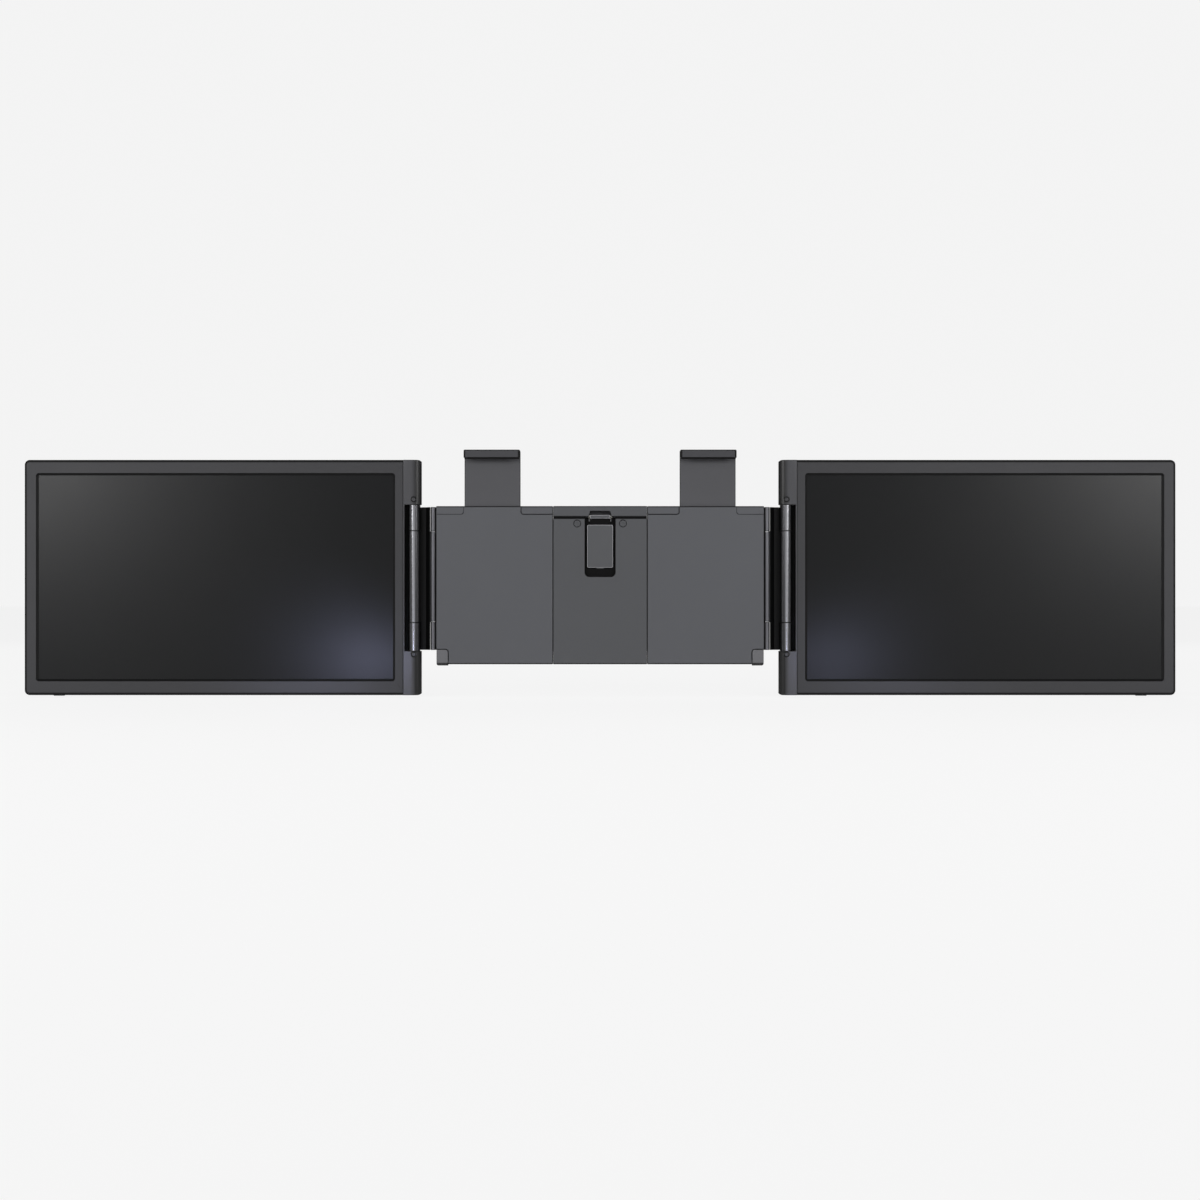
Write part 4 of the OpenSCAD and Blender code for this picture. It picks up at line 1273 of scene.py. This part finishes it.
    def screws(self) -> list[bpy.types.Object]:
        """The case screws at the back and the grub screws in the spine."""
        (x0, _, z0), (x1, y1, z1) = SIZES.rear
        along, up = self.screw_inset
        columns = (x0 + along, (x0 + x1) / 2, x1 - along)
        places = [(x * self.side.value, y1, z) for x in columns for z in (z0 + up, z1 - up)]
        case = Screws(self.node("case_screws"), self.node("screen_screws"), places, 1)
        (sx0, _, sz0), (sx1, _, sz1) = SIZES.barrel
        axis = (sx0 + sx1) / 2 * self.side.value
        spine_front = SIZES.spine[0][1]
        below, above = self.grub_places
        spots = [(axis, spine_front + self.grub_depth, z) for z in (sz0 - below, sz1 + above)]
        grubs = Screws(self.node("grub_screws"), "", spots, -1, *self.grub_head, self.grub_shank, Drive.HEX)
        return [case.build(self.body, "black_steel"), grubs.build(self.body, "black_steel", SPINE_METAL)]

    def build(self) -> list[bpy.types.Object]:
        """Builds the whole screen.

        Returns:
            Its pieces.
        """
        body, pieces = self.body, [self.bezel(), self.display(), self.rear_cover()]
        pieces.append(softened(self.node("hinge_spine"), SPINE_METAL, body, "panel_paint",
                               COVER_ROUND))
        (_, _, z0), (x1, _, z1) = SIZES.barrel
        (reach0, reach1), (y0, y1) = self.notch_seal
        pieces.append(seal(self.node("notch_seal"), (x1 + reach0, y0, z0), (x1 + reach1, y1, z1), self.side,
                           body, "black_plastic"))
        pieces.append(softened(self.node("barrel_sleeves"), BARREL_METAL, body, "barrel_paint"))
        pieces.append(softened(self.node("port_shells"), BRIGHT_STEEL, body, "port_steel",
                               self.port_round))
        pieces.append(softened(self.node("control_key"), BLACK_PLASTIC, f"key_{self.side.word}",
                               "black_plastic", self.key_round))
        pieces += self.screws()
        carry(self.node("screen_shaft"), BRIGHT_STEEL)
        carry(self.node("backlight"), BACKLIGHT_WHITE)
        carry(self.node("driver_board"), BOARD_GREEN)
        return pieces


# ---- Bracket ----


@dataclass
class Wing:
    """One sliding wing of the bracket with its covers, slide plate and hinge leaf.

    Args:
        side: the half of the extender it is on.
        line_w, line_d: width and depth of the caps' parting lines.
        outer_share: how deep the outer cap's line is, as a share of the inner one's.
        cap_z: the height of the caps' lower edges.
        cap_r: the radius of the lines' corners.
        cap_gap: how far from the clamp's plate the lines run.
        run_out: how far the lines reach past the cover's edges.
        front_round: how wide the front cover's edges are rounded, apart from its outline.
        outer_column: the upper outer screw's distance from the wing's outer edge.
        hook_column: the lower outer screw's distance from the hook.
        wing_seal: the black strip of painted shade behind the hinge leaf, in X past the cover's edge,
            and in Y.
    """

    side: Side
    line_w: float = 0.8
    line_d: float = 0.55
    outer_share: float = 0.6
    cap_z: float = 59.2
    cap_r: float = 2.0
    cap_gap: float = 0.6
    run_out: float = 2.0
    front_round: float = 0.45
    outer_column: float = 11.0
    hook_column: float = 14.5
    wing_seal: tuple[tuple[float, float], tuple[float, float]] = ((-0.5, 1.5), (4.9, 5.3))

    @property
    def body(self) -> str:
        """The CAD body that the wing rides on."""
        return f"wing_{self.side.word}"

    def node(self, stem: str) -> str:
        """The name of one of the wing's nodes."""
        return f"{stem}_{self.side.word}"

    def front_cover(self) -> bpy.types.Object:
        """The front cover with the parting lines of its two top caps."""
        name = self.node("wing_front_cover")
        piece = soften(cad_copy(name, name + "_shown"), self.front_round, FRONT_RIM)
        (x0, _, _), (x1, _, z1) = SIZES.wing
        (c0, _, _), (c1, _, _) = SIZES.clamp
        side = self.side.value
        ends = ((c0 - self.cap_gap, x0 - self.run_out, self.line_d),
                (c1 + self.cap_gap, x1 + self.run_out, self.line_d * self.outer_share))
        for upright, end, deep in ends:
            path = cornered(
                (upright, z1 + self.run_out), (upright, self.cap_z), (end, self.cap_z), self.cap_r
            )
            path = [(x * side, z) for x, z in path]
            carve(piece, line_cutter("line", path, self.line_w, -1, deep))
        return dress(smooth(piece), PANEL, self.body, "panel_paint", name)

    def screws(self) -> bpy.types.Object:
        """The four screws in the rear cover."""
        (x0, _, _), (x1, _, z1) = SIZES.wing
        hook_x0 = extent(f"lower_hook_{self.side.word}")
        inner_edge = min(abs(hook_x0[0][0]), abs(hook_x0[1][0]))
        row, column = z1 - SCREW_ROW, x0 + SCREW_COLUMN
        spots = [(column, row), (x1 - self.outer_column, row), (column, -row),
                 (inner_edge - self.hook_column, -row)]
        places = [(x * self.side.value, SIZES.depth, z) for x, z in spots]
        screws = Screws(self.node("cover_screws"), self.node("wing_screws"), places, 1)
        return screws.build(self.body, "black_steel")

    def build(self) -> list[bpy.types.Object]:
        """Builds the wing.

        Returns:
            Its pieces.
        """
        body, pieces = self.body, [self.front_cover(), self.screws()]
        pieces.append(softened(self.node("wing_rear_cover"), REAR_PAINT, body, "panel_paint", COVER_ROUND,
                               REAR_RIM, (-SIZES.half_h + SCREW_ROW, SIZES.half_h - SCREW_ROW)))
        pieces.append(softened(self.node("slide_plate"), PLATE_STEEL, body, "plate_steel", SHEET_ROUND))
        pieces.append(softened(self.node("hinge_leaf"), LEAF_METAL, body, "panel_paint", SHEET_ROUND))
        edge, (_, _, z0), (_, _, z1) = SIZES.wing[1][0], *SIZES.leaf
        (reach0, reach1), (y0, y1) = self.wing_seal
        pieces.append(seal(self.node("wing_seal"), (edge + reach0, y0, z0), (edge + reach1, y1, z1),
                           self.side, body, "black_plastic"))
        carry(self.node("link_pin"), BRIGHT_STEEL)
        carry(self.node("hook_pin"), BRIGHT_STEEL)
        return pieces


@dataclass
class TopClamp:
    """One top clamp with its rubber lining.

    Args:
        side: the half of the extender it is on.
        lip_depth: how far back from its front the clamp's lip is painted darker, as painted shade.
        plate_round: how wide the clamp's edges are rounded.
    """

    side: Side
    lip_depth: float = 3.0
    plate_round: float = 0.7

    def build(self) -> list[bpy.types.Object]:
        """Builds the clamp.

        Returns:
            Its pieces.
        """
        word = self.side.word
        plate = softened(f"clamp_plate_{word}", CLAMP_PAINT, f"clamp_{word}", "clamp_paint",
                         self.plate_round)
        # The lip's faces take a darker copy of the plate's paint: painted shade.
        plate.data.materials.append(CLAMP_LIP_SHADE.material())
        lip_y = SIZES.clamp[0][1] + self.lip_depth
        for face in plate.data.polygons:
            if all(plate.data.vertices[n].co.y < lip_y * MM for n in face.vertices):
                face.material_index = 1
        pad = softened(f"clamp_pad_{word}", RUBBER, f"clamp_{word}", "rubber", SHEET_ROUND)
        carry(f"clamp_spring_{word}", BRIGHT_STEEL)
        return [plate, pad]


@dataclass
class LowerHook:
    """One fold-out hook under the lid's lower edge.

    Args:
        side: the half of the extender it is on.
        hook_round: how wide its edges are rounded.
    """

    side: Side
    hook_round: float = 0.35

    def build(self) -> list[bpy.types.Object]:
        """Builds the hook.

        Returns:
            Its piece.
        """
        word = self.side.word
        return [softened(f"lower_hook_{word}", HOOK_PAINT, f"hook_{word}", "hook_paint", self.hook_round)]


@dataclass
class HingeLink:
    """The dark arm between a wing's hinge and a screen's hinge.

    Args:
        side: the half of the extender it is on.
        shaft_r: radius of the holes in the outer barrel's washers.
        pin_r: radius of the holes in the inner hinge's washers.
        rim_gaps: how far inside the outer and the inner barrels their washers' rims are.
        thicks: the outer and the inner washers' thickness.
        reach: how far past its radius a barrel's metal finish reaches.
        arm_round: how wide the arm's edges are rounded.
        arm_seal: the black strip of painted shade behind the arm, in X from the outer barrel's edge,
            and in Y from its back.
    """

    side: Side
    shaft_r: float = 2.06
    pin_r: float = 1.16
    rim_gaps: tuple[float, float] = (0.3, 0.15)
    thicks: tuple[float, float] = (0.34, 0.5)
    reach: float = 0.1
    arm_round: float = 0.25
    arm_seal: tuple[tuple[float, float], tuple[float, float]] = ((-2.2, 1.1), (-1.4, -1.0))

    def build(self) -> list[bpy.types.Object]:
        """Builds the link.

        Returns:
            Its piece.
        """
        word, side = self.side.word, self.side.value
        body = f"link_{word}"
        arm = softened(f"link_arm_{word}", LINK_BLACK, body, "barrel_paint", self.arm_round)
        (x0, y0, _), (x1, y1, _) = SIZES.barrel
        outer_x, outer_y, outer_r = (x0 + x1) / 2, (y0 + y1) / 2, (x1 - x0) / 2
        refinish(arm, BARREL_METAL, outer_x * side, outer_y, outer_r + self.reach)
        (_, low_y, _), (leaf_x, high_y, _) = SIZES.leaf
        inner_r = (high_y - low_y) / 2
        refinish(arm, LEAF_METAL, (leaf_x - inner_r) * side, outer_y, inner_r + self.reach)
        (_, _, z0), (_, _, z1) = SIZES.leaf
        pieces = [arm]
        for end, z in (("lower", SIZES.lower_part), ("upper", SIZES.upper_part)):
            pieces.append(washer(f"barrel_washer_{end}_{word}", outer_x * side, outer_y, z,
                                 (self.shaft_r, outer_r - self.rim_gaps[0]), self.thicks[0],
                                 f"screen_{word}"))
            pieces.append(washer(f"pin_washer_{end}_{word}", (leaf_x - inner_r) * side, outer_y, z,
                                 (self.pin_r, inner_r - self.rim_gaps[1]), self.thicks[1], body))
        (reach0, reach1), (back0, back1) = self.arm_seal
        strip = seal(f"arm_seal_{word}", (x0 + reach0, y1 + back0, z0), (x0 + reach1, y1 + back1, z1),
                     self.side, body, "black_plastic")
        return pieces + [strip]


@dataclass
class CentreSection:
    """The fixed middle of the bracket.

    Args:
        pocket_row: the height of the two screws beside the pocket.
        pocket_screw: those screws' place in X and the depth of their heads' faces.
        trim_seal: the black strip of painted shade in the trim's gap, in X from its inner end to its
            distance from the centre section's edge, in Y, and in Z from the trim's foot.
        front_rows, shell_rows, trim_rows: heights at which the covers' faces are divided, through their
            holes.
        pocket_round: how wide the pocket's edges are rounded.
        pocket_head, pocket_shank: radius and height of the pocket screws' heads, and of their shanks.
    """

    pocket_row: float = 51.5
    pocket_screw: tuple[float, float] = (19.1, 0.1)
    trim_seal: tuple[tuple[float, float], ...] = ((12.8, 0.4), (1.1, 1.8), (-1.3, 0.1))
    front_rows: tuple[float, ...] = (0.0, 30.0, 51.5, 54.6)
    shell_rows: tuple[float, ...] = (0.0, 40.0)
    trim_rows: tuple[float, ...] = (60.0,)
    pocket_round: float = 0.15
    pocket_head: tuple[float, float] = (2.9, 0.8)
    pocket_shank: tuple[float, float] = (0.95, 2.7)

    def build(self) -> list[bpy.types.Object]:
        """Builds the centre's covers, trim and screws.

        Returns:
            Its pieces.
        """
        screw_row = SIZES.half_h - SCREW_ROW
        pieces = [
            softened("centre_front_plate", CENTRE_PANEL, "centre", "panel_paint", COVER_ROUND, FRONT_RIM,
                     self.front_rows),
            softened("centre_top_trim", CENTRE_PANEL, "centre", "panel_paint", rim=REAR_RIM,
                     rows=self.trim_rows),
            softened("centre_rear_shell", REAR_PAINT, "centre", "panel_paint", COVER_ROUND, REAR_RIM,
                     (-screw_row, *self.shell_rows, screw_row)),
            softened("lock_pocket", BLACK_PLASTIC, "centre", "black_plastic", self.pocket_round,
                     rows=(self.front_rows[1], self.pocket_row)),
        ]
        x, z = SIZES.half_c - SCREW_COLUMN, screw_row
        rear = [(a, SIZES.depth, b) for a in (-x, x) for b in (-z, z)]
        pieces.append(Screws("centre_cover_screws", "centre_screws", rear, 1).build("centre", "black_steel"))
        trim_foot = extent("centre_top_trim")[0][2]
        (inner, edge), (y0, y1), (foot0, foot1) = self.trim_seal
        for side in Side:
            pieces.append(seal(f"trim_seal_{side.word}", (inner, y0, trim_foot + foot0),
                               (SIZES.half_c - edge, y1, trim_foot + foot1), side, "centre",
                               "black_plastic"))
        along, deep = self.pocket_screw
        spots = [(side.value * along, deep, self.pocket_row) for side in Side]
        front = Screws("pocket_screws", "", spots, -1, *self.pocket_head, self.pocket_shank, Drive.HEX)
        pieces.append(front.build("centre", "black_steel", CENTRE_PANEL))
        carry("slide_guides", PALE_NYLON)
        carry("lock_spring", BRIGHT_STEEL)
        carry("kickstand_pin", BRIGHT_STEEL)
        return pieces


@dataclass
class WidthLock:
    """The thumb plate that locks the slides.

    Args:
        stem: the heights between which the plate's faces are painted black as painted shade, where its stem
            lies in the pocket's shade.
        seal_low, seal_high: the corners of the black strip of painted shade beside the stem.
        plate_round: how wide the thumb plate's edges are rounded.
    """

    stem: tuple[float, float] = (50.3, 55.9)
    seal_low: Point = (9.6, 4.9, 52.8)
    seal_high: Point = (12.9, 5.3, 56.6)
    plate_round: float = 0.45

    def build(self) -> list[bpy.types.Object]:
        """Builds the lock's moving pieces.

        Returns:
            Its pieces.
        """
        plate = softened("lock_slider", LOCK_PAINT, "lock", "lock_paint", self.plate_round)
        # The stem's faces take black plastic: painted shade inside the pocket.
        plate.data.materials.append(BLACK_PLASTIC.material())
        low, high = (level * MM for level in self.stem)
        for face in plate.data.polygons:
            if low < face.center.z < high:
                face.material_index = 1
        carry("lock_shoe", BLACK_PLASTIC)
        pieces = [plate]
        for side in Side:
            pieces.append(seal(f"pocket_seal_{side.word}", self.seal_low, self.seal_high, side, "centre",
                               "black_plastic"))
        return pieces


@dataclass
class Kickstand:
    """The rear stand and its rubber foot."""

    def build(self) -> list[bpy.types.Object]:
        """Builds the stand.

        Returns:
            Its pieces.
        """
        return [
            softened("kickstand", REAR_PAINT, "kickstand", "stand_metal", COVER_ROUND),
            softened("kickstand_foot", RUBBER, "kickstand", "rubber"),
        ]


# ---- Studio ----


@dataclass(frozen=True)
class Lamp:
    """A rectangular soft lamp.

    Args:
        name: the lamp's name.
        place: its middle in millimetres, on the right-hand side where it is one of a pair.
        target: the point that it faces.
        size: its width and height.
        radiance: its brightness, where 1 is white paper's.
        rgb: its colour.
        spread: how wide its light spreads, in degrees.
    """

    name: str
    place: Point
    target: Point
    size: tuple[float, float]
    radiance: float
    rgb: tuple[float, float, float] = (255, 255, 255)
    spread: float = 180


KEY = Lamp("key", (1000, -1280, 350), (330, 0, 40), (420, 420), 13.5)
EDGE = Lamp("edge", (1100, -340, 0), (155, 0, 0), (140, 1200), 3.0)
GLOWS = {
    side: Lamp("glow", (204, -300, -76), (246, 0, -54), (62, 28), radiance, (208, 214, 255), 34)
    for side, radiance in ((Side.LEFT, 3.9), (Side.RIGHT, 2.1))
}
TOP = Lamp("top", (0, -420, 1300), (0, 0, 60), (900, 300), 4.0)
BACK = Lamp("back", (0, 1600, 900), (0, 0, 0), (2200, 900), 1.6)


@dataclass
class Studio:
    """The camera, the lamps, the pale floor and the pale surroundings.

    Args:
        frame_w: width of the picture at the bracket's face, in millimetres.
        distance: the camera's distance from the bracket's face.
        centre: the picture's middle (x, z).
        pale: the background's sRGB level.
        floor_z: the floor's height.
        floor_half: half the floor's width in metres.
        floor_glow: how bright the floor looks, where 1 is the background's level.
        floor_share: how much of what is seen of the floor is that even brightness, and not its shade.
        front_light: the surroundings' light from straight ahead and from behind.
        side_light: their light from every other direction.
        gloss_light: how bright the surroundings are in reflections.
    """

    frame_w: float = 1002.0
    distance: float = 1450.0
    centre: tuple[float, float] = (-0.08, -12.36)
    pale: float = 243.6
    floor_z: float = -93.5
    floor_half: float = 20.0
    floor_glow: float = 1.06
    floor_share: float = 0.9
    front_light: float = 1.75
    side_light: float = 0.03
    gloss_light: float = 0.8

    def camera(self) -> bpy.types.Object:
        """The level camera in front of the bracket."""
        data = bpy.data.cameras.new("camera")
        data.sensor_width = 36
        data.lens = data.sensor_width * self.distance / self.frame_w
        data.clip_start, data.clip_end = 0.05, 60
        camera = show("camera", data)
        camera.location = Vector((self.centre[0], -self.distance, self.centre[1])) * MM
        camera.rotation_euler = (math.pi / 2, 0, 0)
        bpy.context.scene.camera = camera
        return camera

    def lamp(self, lamp: Lamp, side: Side | None = None) -> bpy.types.Object:
        """Sets up a lamp.

        Args:
            lamp: the lamp.
            side: the side that it stands on, or None for a single lamp.

        Returns:
            The lamp's object.
        """
        name = f"{lamp.name}_{side.word}" if side else lamp.name
        turn = side.value if side else 1
        place, target = (Vector((x * turn, y, z)) for x, y, z in (lamp.place, lamp.target))
        data = bpy.data.lights.new(name, "AREA")
        data.shape = "RECTANGLE"
        data.size, data.size_y = lamp.size[0] * MM, lamp.size[1] * MM
        data.color = colour(lamp.rgb)[:3]
        data.spread = math.radians(lamp.spread)
        data.energy = lamp.radiance * math.pi * data.size * data.size_y
        made = show(name, data)
        made.location = place * MM
        made.rotation_euler = (target - place).to_track_quat("-Z", "Y").to_euler()
        made.visible_camera = False
        return made

    def floor(self) -> bpy.types.Object:
        """The pale floor, which keeps the object's shadow."""
        work = bmesh.new()
        bmesh.ops.create_grid(work, x_segments=1, y_segments=1, size=self.floor_half)
        for vertex in work.verts:
            vertex.co.z = self.floor_z * MM
        floor = from_bmesh("floor", work)
        made = bpy.data.materials.new("pale_floor")
        made.use_nodes = True
        made.node_tree.nodes.clear()
        nodes = Nodes(made.node_tree)
        seen = self.seen(nodes)
        shade = nodes.add("ShaderNodeBsdfDiffuse", {"Color": colour((self.pale,) * 3)})
        glow = nodes.add(
            "ShaderNodeEmission", {"Color": colour((self.pale,) * 3), "Strength": self.floor_glow}
        )
        share = nodes.maths("MULTIPLY", seen, self.floor_share)
        mixed = nodes.add("ShaderNodeMixShader", {0: share, 1: shade.outputs[0], 2: glow.outputs[0]})
        nodes.add("ShaderNodeOutputMaterial", {"Surface": mixed.outputs[0]})
        floor.data.materials.append(made)
        return floor

    @staticmethod
    def seen(nodes: Nodes) -> bpy.types.NodeSocket:
        """1 where a ray comes from the camera, or by way of metal or glass."""
        path = nodes.add("ShaderNodeLightPath")
        total = nodes.maths("ADD", path.outputs["Is Camera Ray"], path.outputs["Is Glossy Ray"])
        total = nodes.maths("ADD", total, path.outputs["Is Transmission Ray"])
        return nodes.maths("MINIMUM", total, 1.0)

    def world(self) -> bpy.types.World:
        """Pale surroundings, with soft light from the front and the back and darker sides."""
        world = bpy.data.worlds.new("studio")
        bpy.context.scene.world = world
        world.use_nodes = True
        world.node_tree.nodes.clear()
        nodes = Nodes(world.node_tree)
        way = nodes.add("ShaderNodeTexCoord").outputs["Generated"]
        parts = nodes.add("ShaderNodeSeparateXYZ", {0: way})
        facing = nodes.maths("POWER", nodes.maths("ABSOLUTE", parts.outputs["Y"]), 2.0)
        frontal = nodes.maths("POWER", facing, 2.0)
        level = nodes.maths("ADD", nodes.maths("MULTIPLY", frontal, self.front_light), self.side_light)
        path = nodes.add("ShaderNodeLightPath")
        open_rays = nodes.maths("ADD", path.outputs["Is Camera Ray"], path.outputs["Is Transmission Ray"])
        other = nodes.maths("SUBTRACT", 1.0, nodes.maths("ADD", open_rays, path.outputs["Is Glossy Ray"]))
        mirrored = nodes.maths("MULTIPLY", facing, self.gloss_light)
        gloss = nodes.maths("MULTIPLY", path.outputs["Is Glossy Ray"], mirrored)
        light = nodes.maths("MULTIPLY", nodes.maths("MAXIMUM", other, 0.0), level)
        total = nodes.maths("ADD", nodes.maths("ADD", open_rays, gloss), light)
        pale = nodes.add("ShaderNodeBackground", {"Color": colour((self.pale,) * 3), "Strength": total})
        nodes.add("ShaderNodeOutputWorld", {"Surface": pale.outputs[0]})
        return world

    def build(self) -> None:
        """Builds the studio."""
        bpy.context.scene.view_settings.view_transform = "Standard"
        self.camera()
        self.world()
        self.floor()
        for side in Side:
            for lamp in (KEY, EDGE, GLOWS[side]):
                self.lamp(lamp, side)
        self.lamp(TOP)
        self.lamp(BACK)


def main() -> None:
    """Builds the extender and its studio, and reports each piece."""
    logging.basicConfig(level=logging.INFO, format="%(message)s")
    Studio().build()
    assemblies = [CentreSection(), WidthLock(), Kickstand()]
    for side in Side:
        assemblies += [Wing(side), TopClamp(side), LowerHook(side), HingeLink(side), Screen(side)]
    for assembly in assemblies:
        for piece in assembly.build():
            log.info("%s: %s, %d faces", type(assembly).__name__, piece.name, len(piece.data.polygons))


if __name__ == "__main__":
    main()
